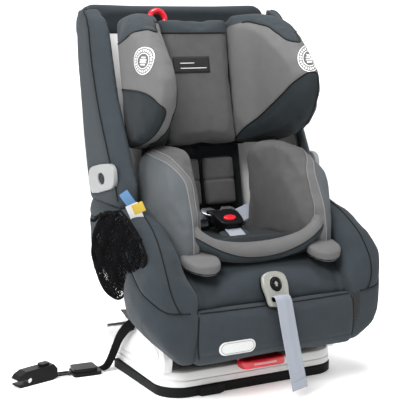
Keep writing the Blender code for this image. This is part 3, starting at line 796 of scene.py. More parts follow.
# ---------------------------------------------------------------- seat wings and cushion
def make_seat_sides():
    outline = mm((128, 190), (137, 300), (133, 345), (-18, 343), (-60, 330), (-112, 311), (-163, 275),
        (-194, 232), (-208, 190), (-212.5, 150), (-208, 108), (-194, 80), (-172, 78), (-125, 100),
        (-88, 126), (-52, 160), (-18, 190), (20, 192), (100, 190))
    front = mm((154, 60), (154, 206), (172, 236), (172, 356), (206, 358), (224, 306), (240, 245),
        (251.5, 200), (245, 160), (218, 118), (190, 88), (168, 60))
    plan = mm((150, 0), (150, -214), (188, -214), (222, -204), (246, -172), (251.5, -130), (236, -80),
        (222, -35), (218.5, 30), (219, 150), (198.5, 150), (198.5, 0))
    seam = mm((-230, 168), (-205, 180), (-176, 204), (-111, 246), (-60, 272), (-10, 290), (60, 300),
        (180, 302))
    for side, sign in SIDES:
        block = carved(("X", outline, -0.3, 0.3), ("Y", mirrored(front, sign), -0.4, 0.4),
            ("Z", mirrored(plan, sign), 0.0, 0.6))
        wing = soft_body("seat_side_cover_" + side, block, "charcoal", rounding=9, pressure=3.0, cap=0.006)
        field = line_field(seam)
        pull_in(wing, field, 0.0022, 0.005, lambda p: (p[:, 0] * sign > 0.19).astype(float))
        runs = kept_runs(level_cut(wing, field), lambda p: p.x * sign > 0.1745 and p.y < 0.12)
        mount_soft(wing, "seat", "fabric_charcoal", "seat_wing_" + side, "side_panel_" + side)
        add_piping("seat_side_piping_" + side, wing, runs, radius=0.0012)
        add_stitches("seat_side_stitching_" + side, wing, runs, aside=-0.004)
        rim = smooth_curve(mirrored(mm((198, -70, 340), (201, -115, 324), (205, -153, 296),
            (209, -184, 258), (208, -203, 215), (196, -214, 180)), sign), 10)
        add_piping("seat_side_front_piping_" + side, wing, [(rim, False)], radius=0.0014)
        lower = mm((-120, 60), (-128, 110), (-150, 150), (-176, 175), (-230, 190))
        shape = line_field(lower)
        runs = kept_runs(level_cut(wing, shape), lambda p: p.x * sign > 0.2 and p.z < 0.172)
        add_stitches("seat_side_lower_seam_" + side, wing, runs, aside=0.0, pitch=0.0034, length=0.003)

    cushion_side = mm((-14, 160), (-172, 156), (-190, 163), (-196.5, 178), (-186, 200), (-160, 218),
        (-120, 232), (-80, 238), (40, 236), (90, 228), (90, 200), (30, 160))
    cushion = prism("cushion", cushion_side, "X", -0.166, 0.166)
    cushion = soft_body("seat_cushion_cover", cushion, "charcoal", rounding=6, pressure=4.0, cap=0.008)
    pull_in(cushion, lambda p: np.abs(p[:, 0]) - 0.14, depth=0.003, width=0.006)
    mount_soft(cushion, "seat", "fabric_charcoal", "seat_cushion", fill=0.8)

    panel_side = mm((-166.5, 168), (-185, 174), (-200.5, 178.5), (-210, 168), (-214, 140), (-212.5, 100),
        (-204, 80), (-172, 78))
    panel = prism("panel", panel_side, "X", -0.164, 0.164)
    panel = soft_body("front_panel_cover", panel, "charcoal", rounding=4, pressure=3.0, cap=0.003)
    pull_in(panel, lambda p: p[:, 2] - 0.1, depth=0.001, width=0.003)
    mount_soft(panel, "seat", "fabric_charcoal", "front_panel", fill=0.8)
    for side, sign in SIDES:
        edge = [Vector((0.1595 * sign, -0.208, z)) for z in np.linspace(0.095, 0.17, 30)]
        add_piping("front_panel_piping_" + side, panel, [(edge, False)], radius=0.0015)
    seam = [Vector((x, -0.206, 0.1775)) for x in np.linspace(-0.156, 0.156, 60)]
    runs = [(seam, False)]
    add_piping("front_seam_piping", panel, runs, radius=0.0013)
    add_stitches("front_seam_stitching", panel, runs, aside=-0.004)


# ---------------------------------------------------------------- infant insert
def make_insert():
    plan = mm((100, 62), (132, 62), (156, 42), (171, 4), (172, -40), (168, -105), (154, -150), (126, -153),
        (109, -100), (92, -40), (80, 10), (80, 50))
    side_line = mm((64, 395), (34, 436), (-18, 447), (-70, 428), (-114, 388), (-144, 330), (-156, 272),
        (-146, 238), (62, 238))
    crown = mm((70, 230), (70, 405), (90, 434), (116, 442), (142, 430), (162, 395), (173, 330), (172, 270),
        (160, 230))

    def ridge(places):
        return 0.124 - 0.1 * (places[:, 1] + 0.14) + 0.028 * step(places[:, 2], 0.38, 0.44)

    for side, sign in SIDES:
        block = carved(("Z", mirrored(plan, sign), 0.2, 0.5), ("X", side_line, -0.3, 0.3),
            ("Y", mirrored(crown, sign), -0.3, 0.3))
        bolster = soft_body("insert_bolster_cover_" + side, block, "smooth", "light", "grey", rounding=10,
            pressure=4.0, cap=0.008, voxel=0.0045)
        outer = level_cut(bolster, lambda p: p[:, 0] * sign - ridge(p) - 0.014, 1)
        inner = level_cut(bolster, lambda p: p[:, 0] * sign - ridge(p), 2)
        mount_soft(bolster, "seat", "fabric_grey", "insert_bolster_" + side, fill=0.8)
        runs = kept_runs(outer, lambda p: p.z > 0.245 and p.y < 0.055)
        add_piping("insert_rim_piping_" + side, bolster, runs, radius=0.001, cloth="light_piping",
            slot="fabric_grey")
        runs = kept_runs(inner, lambda p: p.z > 0.25 and p.y < 0.055)
        add_piping("insert_ridge_piping_" + side, bolster, runs, radius=0.0008, cloth="light_piping",
            slot="fabric_grey")
        add_stitches("insert_ridge_stitching_" + side, bolster, runs, aside=0.003, slot="fabric_grey")

    pad_plan = mm((84, 62), (82, 10), (94, -40), (110, -100), (118, -132), (60, -136), (0, -138))
    pad_plan += [(-u, v) for u, v in reversed(pad_plan[:-1])]
    pad_side = mm((64, 264), (0, 266), (-80, 268), (-125, 276), (-142, 270), (-142, 246), (-120, 240.5),
        (64, 240.5))
    pad = carved(("Z", pad_plan, 0.2, 0.32), ("X", pad_side, -0.3, 0.3))
    # The seat pad's dark knit is partly its own dark colour and partly painted shade for the shadowed
    # hollow inside the front lip.
    pad = soft_body("insert_seat_cover", pad, "dark", rounding=4, pressure=4.0, cap=0.005, voxel=0.0045)
    mount_soft(pad, "seat", "fabric_grey", "insert_seat_pad")

    lip_route = even_path(smooth_curve(mm((-134, -128, 312), (-124, -138, 291), (-95, -142, 271),
        (-50, -138, 258.5), (0, -135, 254.5), (50, -138, 258.5), (95, -142, 271), (124, -138, 291),
        (134, -128, 312)), 8), 0.0035)

    def lip_section(i):
        share = abs(2.0 * i / (len(lip_route) - 1) - 1.0)
        size = 0.35 + 0.65 * math.sqrt(max(0.0, 1.0 - share ** 2.4))
        return oval((0, 0), (0.0195 * size, 0.0185 * size), 20)
    lip = sweep("insert_front_lip", lip_route, lip_section, "light")
    dress(lip, "charcoal")
    seam = level_cut(lip, lambda p: p[:, 2] - (0.248 + 2.6 * p[:, 0] ** 2), 1, 0)
    mount_soft(lip, "seat", "fabric_light")
    runs = kept_runs(seam, lambda p: p.y < -0.134)
    add_piping("insert_lip_piping", lip, runs, radius=0.0009, slot="fabric_grey")

    for side, sign in SIDES:
        flap = smooth_flat(mm((112, -128), (150, -122), (163, -142), (158, -168), (140, -186), (116, -188),
            (98, -172), (96, -146), (112, -128)), 4)[:-1]
        block = prism("flap", mirrored(flap, sign), "Z", 0.244, 0.266)
        block.data.transform(Matrix.Translation((0, -0.14, 0.24)) @ turned(16, "X")
            @ Matrix.Translation((0, 0.14, -0.24)))
        made = soft_body("insert_flap_cover_" + side, block, "light", "smooth", rounding=7, pressure=3.0,
            cap=0.004, voxel=0.004)
        runs = level_cut(made, lambda p: p[:, 2] - 0.25 - 0.28 * (p[:, 1] + 0.14), 1, 0)
        mount_soft(made, "seat", "fabric_light", "insert_flap_" + side)
        add_piping("insert_flap_piping_" + side, made, runs, radius=0.0009, slot="fabric_light")


# ---------------------------------------------------------------- headrest
def make_headrest():
    plan = mm((106, -53.5), (152, -66), (170, -100), (175, -140), (175, -200), (166, -256), (150, -268),
        (133, -255), (124, -200), (106, -130), (80, -88), (72, -53.5))
    side_line = mm((-50, 306), (-82, 321), (-116, 319), (-146, 304), (-176, 280), (-208, 251), (-240, 214),
        (-264, 172), (-258, 140), (-234, 110), (-196, 84), (-150, 70), (-90, 64), (-50, 66))
    front = mm((50, 50), (50, 325), (130, 322), (162, 308), (182, 280), (192, 240), (192, 140), (184, 90),
        (165, 50))
    for side, sign in SIDES:
        block = carved(("Z", mirrored(plan, sign), 0.02, 0.36), ("X", side_line, -0.3, 0.3),
            ("Y", mirrored(front, sign), -0.4, 0.1))
        block.data.transform(BACK_FRAME)
        wing = soft_body("headrest_wing_cover_" + side, block, "light", "charcoal", "slate", rounding=9,
            pressure=4.0, cap=0.006)

        seen_edge = 0.016 if sign > 0 else -0.024

        def beyond_ridge(places):
            across, depth, _ = back_places(places)
            return across * sign - (0.15 + 0.1 * (depth + 0.2))

        def top_band(places):
            _, depth, height = back_places(places)
            out = step(beyond_ridge(places) - seen_edge, -0.006, 0.006)
            outer = np.interp(-depth, (0.05, 0.12, 0.15, 0.18, 0.21), (0.266, 0.259, 0.261, 0.27, 0.286))
            inner = np.interp(-depth, (0.05, 0.08, 0.12, 0.16, 0.2, 0.24),
                (0.285, 0.297, 0.3, 0.283, 0.25, 0.228))
            return height - (outer * out + inner * (1 - out))

        def low_panel(places):
            beyond = beyond_ridge(places)
            rise = np.where(places[:, 2] > 0.475, (places[:, 2] - 0.475) / 0.07,
                (0.475 - places[:, 2]) / 0.11)
            bulge = 1.0 - (np.maximum(0.0, 0.005 - places[:, 1]) / 0.094) ** 3 - rise ** 3
            outer, limit = bulge * 0.04, beyond - max(0.003, seen_edge + 0.006)
            outer = 0.5 * (outer + limit - np.sqrt((outer - limit) ** 2 + 0.015 ** 2))
            inner = np.minimum(0.508 - 0.83 * places[:, 1] - places[:, 2], seen_edge - beyond)
            return -np.maximum(outer, inner)

        band = level_cut(wing, top_band, None, 1)
        low = level_cut(wing, low_panel, 2)
        mount_soft(wing, "headrest", "fabric_light", "headrest_wing_" + side, fill=0.8)
        runs = kept_runs(band, lambda p: p.y < 0.088) + kept_runs(low, lambda p: p.y < 0.088)
        add_piping("headrest_band_piping_" + side, wing, runs, radius=0.0015, body="headrest")
        add_stitches("headrest_band_stitching_" + side, wing, runs, aside=0.0042, body="headrest")
        make_motif(wing, side, sign)

    pad = prism("centre", rounded_rectangle((-0.078, -0.088), (0.078, -0.0535), 0.014, 5), "Z", 0.066,
        0.312)
    pad.data.transform(BACK_FRAME)
    pad = soft_body("headrest_centre_cover", pad, "grey", "charcoal", rounding=6, pressure=4.0, cap=0.006)
    band = level_cut(pad, lambda p: p[:, 2] - 0.645, None, 1)
    mount_soft(pad, "headrest", "fabric_grey", "headrest_centre_pad", fill=0.8)
    runs = kept_runs(band, lambda p: p.y < 0.14)
    add_piping("headrest_centre_piping", pad, runs, body="headrest")
    label = patch("headrest_label", pad, Vector((-0.018, 0.06, 0.59)), Vector((0, 1, -0.19)), 0.078, 0.032,
        "label_dark", 0.0011)
    mount(label, "headrest", "fabric_charcoal")
    lines = [patch("label_line", pad, Vector((x, 0.055, z)), Vector((0, 1, -0.19)), wide, 0.0014, "print",
        0.0017) for x, z, wide in ((-0.028, 0.594, 0.03), (-0.015, 0.584, 0.056))]
    mount(join("headrest_label_lines", lines), "headrest", "fabric_light")


def patch(name, target, centre, aim, width, height, cloth, lift):
    """A thin sewn label: a grid dropped along aim onto a soft surface."""
    tree = surface_of(target)
    aim = aim.normalized()
    wide = aim.cross(UP).normalized()
    tall = wide.cross(aim).normalized()
    columns = max(4, int(width / LABEL_CELL))
    rows = max(3, int(height / LABEL_CELL))
    maker = bmesh.new()
    grid = []
    for row in range(rows + 1):
        line = []
        for column in range(columns + 1):
            aside = wide * width * (column / columns - 0.5)
            rise = tall * height * (row / rows - 0.5)
            start = centre - aim * 0.1 + aside + rise
            place, normal, _, _ = tree.ray_cast(start, aim)
            if place is None:
                place, normal, _, _ = tree.find_nearest(start + aim * 0.1)
            line.append(maker.verts.new(place + normal * lift))
        grid.append(line)
    for low, high in zip(grid, grid[1:]):
        for i in range(columns):
            maker.faces.new((low[i], low[i + 1], high[i + 1], high[i]))
    made = from_bmesh(name, maker, cloth)
    thick = made.modifiers.new("thickness", "SOLIDIFY")
    thick.thickness = min(0.0008, lift * 0.9)
    thick.offset = -1.0
    return bake_modifiers(made)


def make_motif(wing, side, sign):
    """A plain round printed motif of rings and bars on the wing's outer or inner face."""
    tree = surface_of(wing)
    if sign < 0:
        centre, aim, stretch = Vector((-0.168, -0.022, 0.598)), Vector((0.8, 0.6, 0.0)), 1.15
    else:
        centre, aim, stretch = Vector((0.152, -0.066, 0.598)), Vector((0.45, 0.88, 0.0)), 1.0
    aim.normalize()
    wide = aim.cross(UP).normalized()
    tall = wide.cross(aim)
    maker = bmesh.new()

    def spot(u, v):
        place, normal, _, _ = tree.ray_cast(centre - aim * 0.08 + wide * u * stretch + tall * v * 1.1, aim)
        if place is None:
            place, normal, _, _ = tree.find_nearest(centre + wide * u + tall * v)
        return maker.verts.new(place + normal * 0.0007)

    def ring(inner, outer, start, end, steps):
        turns = [start + (end - start) * i / steps for i in range(steps + 1)]
        low = [spot(inner * math.cos(t), inner * math.sin(t)) for t in turns]
        high = [spot(outer * math.cos(t), outer * math.sin(t)) for t in turns]
        for i in range(steps):
            maker.faces.new((low[i], low[i + 1], high[i + 1], high[i]))

    ring(0.0205, 0.022, 0.0, math.tau, 48)
    for k in range(24):
        start = math.tau * k / 24
        ring(0.015, 0.0188, start, start + math.tau / 24 * 0.62, 2)
    ring(0.0118, 0.0132, 0.0, math.tau, 40)
    for v, half in mm((5.5, 4.2), (1.8, 6.8), (-2, 6.8), (-5.8, 5)):
        low = [spot(half * s, v - 0.0011) for s in (-1, 0, 1)]
        high = [spot(half * s, v + 0.0011) for s in (-1, 0, 1)]
        for i in range(2):
            maker.faces.new((low[i], low[i + 1], high[i + 1], high[i]))
    mount(from_bmesh("headrest_motif_" + side, maker, "print"), "headrest", "fabric_light")


# ---------------------------------------------------------------- hard parts with fine edges
def round_edges(obj, width, segments, angle):
    edges = obj.modifiers.new("edges", "BEVEL")
    edges.width = width
    edges.segments = segments
    edges.limit_method = "ANGLE"
    edges.angle_limit = math.radians(angle)


def shade(obj, angle):
    """Smooth shading with edges sharper than the angle kept sharp."""
    obj.data.shade_smooth()
    obj.data.set_sharp_from_angle(angle=math.radians(angle))


def solid(name, outline, low, high, bevel, cloth, place=None, axis="Z"):
    made = prism(name, outline, axis, low, high)
    if bevel:
        round_edges(made, bevel, 4, 40)
        bake_modifiers(made)
    if place is not None:
        made.data.transform(place)
    shade(made, SHARP_ANGLE)
    return dress(made, cloth)


def side_solid(name, outline, near, far, sign, bevel, cloth):
    """A solid between two planes across the seat, on the side that sign gives."""
    low, high = sorted((near * sign, far * sign))
    return solid(name, outline, low, high, bevel, cloth, axis="X")


def cut_out(target, *cutters):
    slots = list(target.data.materials)
    overlap_of(target, *cutters, operation="DIFFERENCE")
    target.data.materials.clear()
    for item in slots:
        target.data.materials.append(item)
    shade(target, SHARP_ANGLE)


def skirt(name, plan, profile, cloth):
    """A plan outline swept up a side profile of (inset, height) steps, closed top and bottom."""
    plan = [Vector(point) for point in plan]
    count = len(plan)
    rings = []
    for inset, height in profile:
        ring = []
        for i, point in enumerate(plan):
            before = (point - plan[i - 1]).normalized()
            after = (plan[(i + 1) % count] - point).normalized()
            inward = Vector((-(before.y + after.y), before.x + after.x)).normalized()
            ring.append((point.x + inward.x * inset, point.y + inward.y * inset, height))
        rings.append(ring)
    made = loft(name, rings)
    shade(made, SKIRT_SHARP_ANGLE)
    return dress(made, cloth)


def make_base():
    plan = arc((0.136, -0.082), 0.05, -90, 0, 12) + arc((0.115, 0.15), 0.065, 0, 90, 10)
    plan += arc((-0.115, 0.15), 0.065, 90, 180, 10) + arc((-0.136, -0.082), 0.05, 180, 270, 12)
    profile = mm((4, 18), (0, 19.5), (0, 29.5), (2.2, 30.5), (2.2, 33.5), (0, 34.5), (0.5, 43), (2, 46.2),
        (6, 48.2), (14, 49))
    tray = skirt("base_tray_body", plan, profile, "base")
    heel = solid("heel", rounded_rectangle((-0.158, -0.02), (0.158, 0.205), 0.03), 0.0, 0.03, 0.004, "base")
    mount(tray, "base", "base_white", "base_tray")
    mount(heel, "base", "base_white")
    heel.name = "base_rear_foot"

    notch = mm((187, 94), (148, 94), (148, -60), (128, -92), (-128, -92), (-148, -60), (-148, 94),
        (-187, 94))
    rim_plan = arc((0.137, -0.083), 0.05, -90, 0, 12) + notch + arc((-0.137, -0.083), 0.05, 180, 270, 12)
    rim = skirt("base_rubber_rim", rim_plan, mm((1.5, 0), (0, 1.5), (0, 16), (1.5, 17.7)), "rubber")
    mount(rim, "base", "rim_black", "base_rim_pad")
    wedge = solid("base_front_lug", mm((-118, -140), (-80, -141), (-66, -134), (-66, -126), (-124, -126)),
        0.0, 0.0175, 0.002, "rubber")
    mount(wedge, "base", "rim_black")

    tower_side = smooth_flat(mm((-118, 47), (-121, 75), (-106, 97), (-66, 117), (-22, 122.2), (18, 108),
        (44, 84), (60, 58), (67, 47)), 5)
    for side, sign in SIDES:
        tower = side_solid("base_tower_cover_" + side, tower_side, 0.1665, 0.1835, sign, 0.005, "base")
        mount(tower, "base", "base_white", "base_tower_" + side)
        rib_line = [(y * 0.8 - 0.004, 0.047 + (z - 0.047) * 0.78) for y, z in tower_side]
        rib = side_solid("base_tower_panel_" + side, rib_line, 0.1825, 0.1848, sign, 0.0012, "base")
        mount(rib, "base", "base_white")

    handle = solid("recline_handle_grip", rounded_rectangle((-0.046, -0.166), (0.046, -0.135), 0.011),
        0.045, 0.062, 0.0045, "red")
    mount(handle, "recline_release", "red_plastic", "recline_handle")
    recess = solid("recline_handle_plate", rounded_rectangle((-0.024, 0.0515), (0.024, 0.056), 0.002),
        -0.1666, -0.1655, 0.0003, "handle_mark", axis="Y")
    mount(recess, "recline_release", "red_plastic")


def smooth_flat(points, steps):
    return [(p.x, p.y) for p in smooth_curve([(u, v, 0.0) for u, v in points], steps)]


def make_belt_guides():
    plate = smooth_flat(mm((104, 346), (114, 352), (121, 374), (112, 392), (84, 401), (52, 407), (20, 410),
        (4, 401), (1, 378), (14, 366), (48, 357), (80, 349)), 4)
    middle = (0.058, 0.379)
    lens = oval(middle, (0.0165, 0.0115), 24)
    for side, sign in SIDES:
        guide = side_solid("belt_guide_plate_" + side, plate, 0.215, 0.2245, sign, 0.002, "guide")
        low, high = sorted((0.2222 * sign, 0.24 * sign))
        cut_out(guide, prism("lens", lens, "X", low, high))
        mount(guide, "seat", "guide_grey", "belt_guide_" + side)
        glass = [(middle[0] + (y - middle[0]) * 0.94, middle[1] + (z - middle[1]) * 0.92) for y, z in lens]
        inlay = side_solid("belt_guide_inlay_" + side, glass, 0.2205, 0.2226, sign, 0.0005, "black")
        mount(inlay, "seat", "guide_grey")


def make_harness():
    for side, sign in SIDES:
        centre = 0.0385 * sign
        plan = rounded_rectangle((centre - 0.0335, -0.07), (centre + 0.0335, -0.042), 0.01, 4)
        pad = prism("pad", plan, "Z", -0.052, 0.04)
        pad.data.transform(BACK_FRAME)
        pad = soft_body("shoulder_pad_cover_" + side, pad, "grey", "charcoal", rounding=3, pressure=3.0,
            cap=0.003, voxel=0.0035)
        pull_in(pad, lambda p: back_places(p)[2] + 0.004, depth=0.0016, width=0.0028)
        edge = level_cut(pad, lambda p: back_places(p)[1] + 0.056, None, 1)
        mount_soft(pad, "seat", "fabric_grey", "shoulder_pad_" + side, fill=0.7)
        add_piping("shoulder_pad_piping_" + side, pad, edge, radius=0.0022)

        up = [BACK_FRAME @ Vector(point) for point in ((centre, -0.0345, 0.08), (centre, -0.0345, 0.03),
            (centre, -0.035, -0.03), (centre, -0.039, -0.052), (centre * 0.95, -0.046, -0.075))]
        low = [Vector(p) for p in mirrored(mm((28, 52, 282), (19, 28, 288), (17, 12, 293.5)), sign)]
        strap = ribbon("shoulder_webbing_" + side, smooth_curve(up + low, 6), 0.034, ACROSS, 0.002,
            "webbing_silver")
        mount(strap, "seat", "webbing_silver", "shoulder_strap_" + side)
        lap = smooth_curve(mirrored(mm((19, 20, 292.5), (40, 36, 289), (62, 46, 286.5), (82, 40, 296),
            (94, 20, 305)), sign), 6)
        belt = ribbon("lap_webbing_" + side, lap, 0.03, Vector((0, 0.5, 1.0)), 0.0018, "webbing_silver")
        mount(belt, "seat", "webbing_silver")

        tongue = mirrored(mm((4, 27), (22, 27), (36, 38), (37, 50), (30, 56), (12, 56), (4, 46)), sign)
        metal_tongue = solid("tongue_plate_" + side, tongue, 0.0058, 0.0092, 0.001, "steel", BUCKLE_FRAME)
        mount(metal_tongue, "seat", "steel", "tongue_" + side)
        sleeve = mirrored(mm((3.5, 28.5), (21.5, 28.5), (30, 36), (28.5, 43), (3.5, 43)), sign)
        cover = solid("tongue_sleeve_" + side, sleeve, 0.0035, 0.013, 0.003, "black", BUCKLE_FRAME)
        mount(cover, "seat", "plastic_black")

    housing_plan = smooth_flat(mm((-24, -12), (-14, -18.5), (0, -19.5), (14, -18.5), (24, -12), (27.5, 4),
        (27, 22), (18, 28.5), (0, 29), (-18, 28.5), (-27, 22), (-27.5, 4), (-24, -12)), 5)[:-1]
    housing = solid("buckle_body", housing_plan, 0.0, 0.0205, 0.005, "black")
    button_line = oval((0, 0.001), (0.0133, 0.0083), 28)
    window_line = [(u * 1.1, (v - 0.001) * 1.14 + 0.001) for u, v in button_line]
    cut_out(housing, prism("window", window_line, "Z", 0.006, 0.03))
    housing.data.transform(BUCKLE_FRAME)
    mount(housing, "seat", "plastic_black", "buckle_housing")
    button = solid("buckle_press_button", button_line, 0.0122, 0.0228, 0.0026, "red", BUCKLE_FRAME)
    mount(button, "buckle_button", "red_plastic", "buckle_button")

    crotch = [BUCKLE_FRAME @ Vector(p) for p in mm((0, -12, 7.2), (0, -22, 7.2), (0, -40, 7), (0, -54, 4),
        (0, -62, -4))]
    strap = ribbon("crotch_webbing", smooth_curve(crotch, 6), 0.034, ACROSS, 0.0022, "webbing_silver")
    mount(strap, "seat", "webbing_silver", "crotch_strap")
    pad = prism("pad", rounded_rectangle((-0.031, -0.046), (0.031, -0.015), 0.01, 4), "Z", -0.0035, 0.005)
    pad = soft_body("crotch_pad_cover", pad, "charcoal", rounding=2, pressure=0.0, cap=0.002, voxel=0.003)
    pad.data.transform(BUCKLE_FRAME)
    mount_soft(pad, "seat", "fabric_charcoal", "crotch_pad")


def make_adjuster():
    plan = smooth_flat(mm((-29.5, 6), (-25.5, 24), (-12, 31.5), (0, 32.5), (12, 31.5), (25.5, 24),
        (29.5, 6), (26.2, -16), (24, -33), (12, -37.5), (0, -38.2), (-12, -37.5), (-24, -33), (-26.2, -16),
        (-29.5, 6)), 5)[:-1]
    bezel = solid("adjuster_cover", plan, 0.0, 0.01, 0.0042, "silver")
    well_middle = (0, 0.0055)
    well = oval(well_middle, (0.0148, 0.0158), 36)
    slot_line = rounded_rectangle((-0.018, -0.029), (0.018, -0.0185), 0.004)
    cut_out(bezel, prism("well", well, "Z", -0.01, 0.03), prism("slot", slot_line, "Z", -0.01, 0.03))
    bezel.data.transform(ADJUSTER_FRAME)
    mount(bezel, "seat", "bezel_silver", "adjuster_bezel")
    floor = solid("adjuster_well_floor", [(u * 1.02, v) for u, v in plan[::2]], -0.0015, 0.0008, 0.0,
        "black", ADJUSTER_FRAME)
    mount(floor, "seat", "plastic_black")
    collar_line = oval(well_middle, (0.015, 0.016), 48)
    collar_path = [ADJUSTER_FRAME @ Vector((u, v, 0.0098)) for u, v in collar_line]
    mount(tube("adjuster_collar", collar_path, 0.0011, "silver", True), "seat", "bezel_silver")
    knob = oval(well_middle, (0.0116, 0.0128), 36)
    button = solid("adjuster_press_button", knob, 0.0044, 0.0112, 0.003, "black", ADJUSTER_FRAME)
    mount(button, "adjuster_button", "plastic_black", "adjuster_button")
    arrow = mm((-2.2, 1), (2.2, 1), (2.2, 6), (4.8, 6), (0, 11.8), (-4.8, 6), (-2.2, 6))
    mark = solid("adjuster_arrow", arrow, 0.011, 0.0116, 0.0, "silver", ADJUSTER_FRAME)
    mount(mark, "adjuster_button", "bezel_silver")


def make_ring_handle():
    across, height, radius = -0.052, 0.3215, 0.0165
    path = [BACK_FRAME @ Vector((u, -0.03, v)) for u, v in oval((across, height), (radius, radius), 56)]
    ring = tube("ring_handle_grip", path, 0.0056, "red", True, 20)
    mount(ring, "ring_handle", "red_plastic", "headrest_ring_handle")
    bar = solid("ring_pull_bar", rounded_rectangle((-0.0575, -0.0325), (-0.0465, -0.0275), 0.002, 3), 0.13,
        0.309, 0.0006, "red", BACK_FRAME)
    mount(bar, "ring_handle", "red_plastic")


def make_shell_back():
    """Moulded ribs and harness slots on the rear of the shell."""
    def on_rear(x, height, out=0.0008):
        return BACK_FRAME @ Vector((x, out, height))

    frame_line = [on_rear(u, v) for u, v in rounded_rectangle((-0.16, 0.03), (0.16, 0.272), 0.03, 8)]
    mount(tube("shell_rear_frame_rib", frame_line, 0.0042, "shell", True, 12), "seat", "shell_white")
    ribs = [[on_rear(x, 0.034), on_rear(x, 0.268)] for x in (-0.11, -0.075, 0.075, 0.11)]
    ribs += [[on_rear(-0.157, h), on_rear(0.157, h)] for h in (0.075, 0.235)]
    parts = [tube("rib", even_path(rib, 0.01), 0.0034, "shell", False, 10) for rib in ribs]
    mount(join("shell_rear_ribs", parts), "seat", "shell_white")
    rim_line = rounded_rectangle((-0.025, -0.006), (0.025, 0.006), 0.0055, 4)
    slots, rims = [], []
    for height in (0.11, 0.15, 0.19):
        for x in (-0.04, 0.04):
            outline = rounded_rectangle((x - 0.024, height - 0.005), (x + 0.024, height + 0.005), 0.0045, 4)
            slots.append(solid("slot", outline, -0.0018, -0.0004, 0.0, "black",
                BACK_FRAME @ turned(90, "X")))
            rim = [on_rear(x + u, height + v, 0.0012) for u, v in rim_line]
            rims.append(tube("slot_rim", rim, 0.0011, "shell", True, 8))
    mount(join("harness_slots", slots), "seat", "plastic_black")
    mount(join("harness_slot_rims", rims), "seat", "shell_white")


# ---------------------------------------------------------------- net pocket and labels
def make_pocket():
    outline = mm((-62, 338), (0, 322), (44, 298), (68, 262), (62, 225), (40, 195), (5, 176), (-50, 176),
        (-92, 203), (-135, 236), (-165, 270), (-140, 302), (-102, 324))
    middle = Vector((-0.045, 0.255))
    rim = [Vector(p) for p in smooth_flat(outline + outline[:1], 8)[:-1]]

    def reach(y, z):
        """0 at the pocket's middle and 1 at its hem."""
        away = Vector((y, z)) - middle
        turn = math.atan2(away.y, away.x)
        edge = min(rim, key=lambda p: abs(math.remainder(math.atan2(p.y - middle.y, p.x - middle.x) - turn,
            math.tau)))
        return away.length / (edge - middle).length

    for layer, (swell, cell, thick) in enumerate(((0.0185, 0.0068, 0.002), (0.01, 0.009, 0.0018))):
        maker = bmesh.new()
        rows = int(0.17 / cell)
        spots = {}
        for i in range(-rows, rows + 1):
            for j in range(-rows, rows + 1):
                y = middle.x + (i + j) * cell * 0.5 + 0.0016 * math.sin(i * 1.7 + j * 0.9)
                z = middle.y + (i - j) * cell * 0.62 + 0.0016 * math.sin(i * 0.8 - j * 2.1)
                share = reach(y, z)
                if share > 1.0:
                    continue
                fold = 0.003 * math.sin(95.0 * y + 40.0 * z) + 0.0022 * math.sin(150.0 * z - 60.0 * y)
                out = (swell + fold) * (1 - share ** 3.0)
                spots[i, j] = maker.verts.new((-0.24 - max(0.0004, out), y, z))
        for i, j in spots:
            ring = [spots.get(key) for key in ((i, j), (i + 1, j), (i + 1, j + 1), (i, j + 1))]
            if None not in ring:
                maker.faces.new(ring)
        net = from_bmesh("net_pocket_layer_%d" % layer, maker, "net")
        wires = net.modifiers.new("wires", "WIREFRAME")
        wires.thickness = thick
        wires.use_even_offset = False
        bake_modifiers(net)
        net.data.materials.clear()
        dress(net, "net")
        mount(net, "seat", "net_black", *(["mesh_pocket"] if layer == 0 else []))
    inside = [Vector((-0.068, 0.258)) + (p - middle) * 0.8 for p in rim]
    backing = loft("net_pocket_lining", [[Vector((x, p.x, p.y)) for p in inside]
        for x in (-0.2375, -0.2395)])
    dress(backing, "dark")
    mount(backing, "seat", "net_black")
    hem = [Vector((-0.2385, p.x, p.y)) for p in rim]
    mount(tube("net_pocket_hem", hem, 0.0024, "net", True, 10), "seat", "net_black")
    gathers = [Vector((-0.24 - 0.003 * abs(math.sin(t * 30)), -0.15 + 0.212 * t,
        0.3 + 0.03 * math.sin(t * math.pi) + 0.0016 * math.sin(t * 90)))
        for t in np.linspace(0.0, 1.0, 120)]
    mount(tube("net_pocket_elastic", gathers, 0.0032, "net", False, 10), "seat", "net_black")


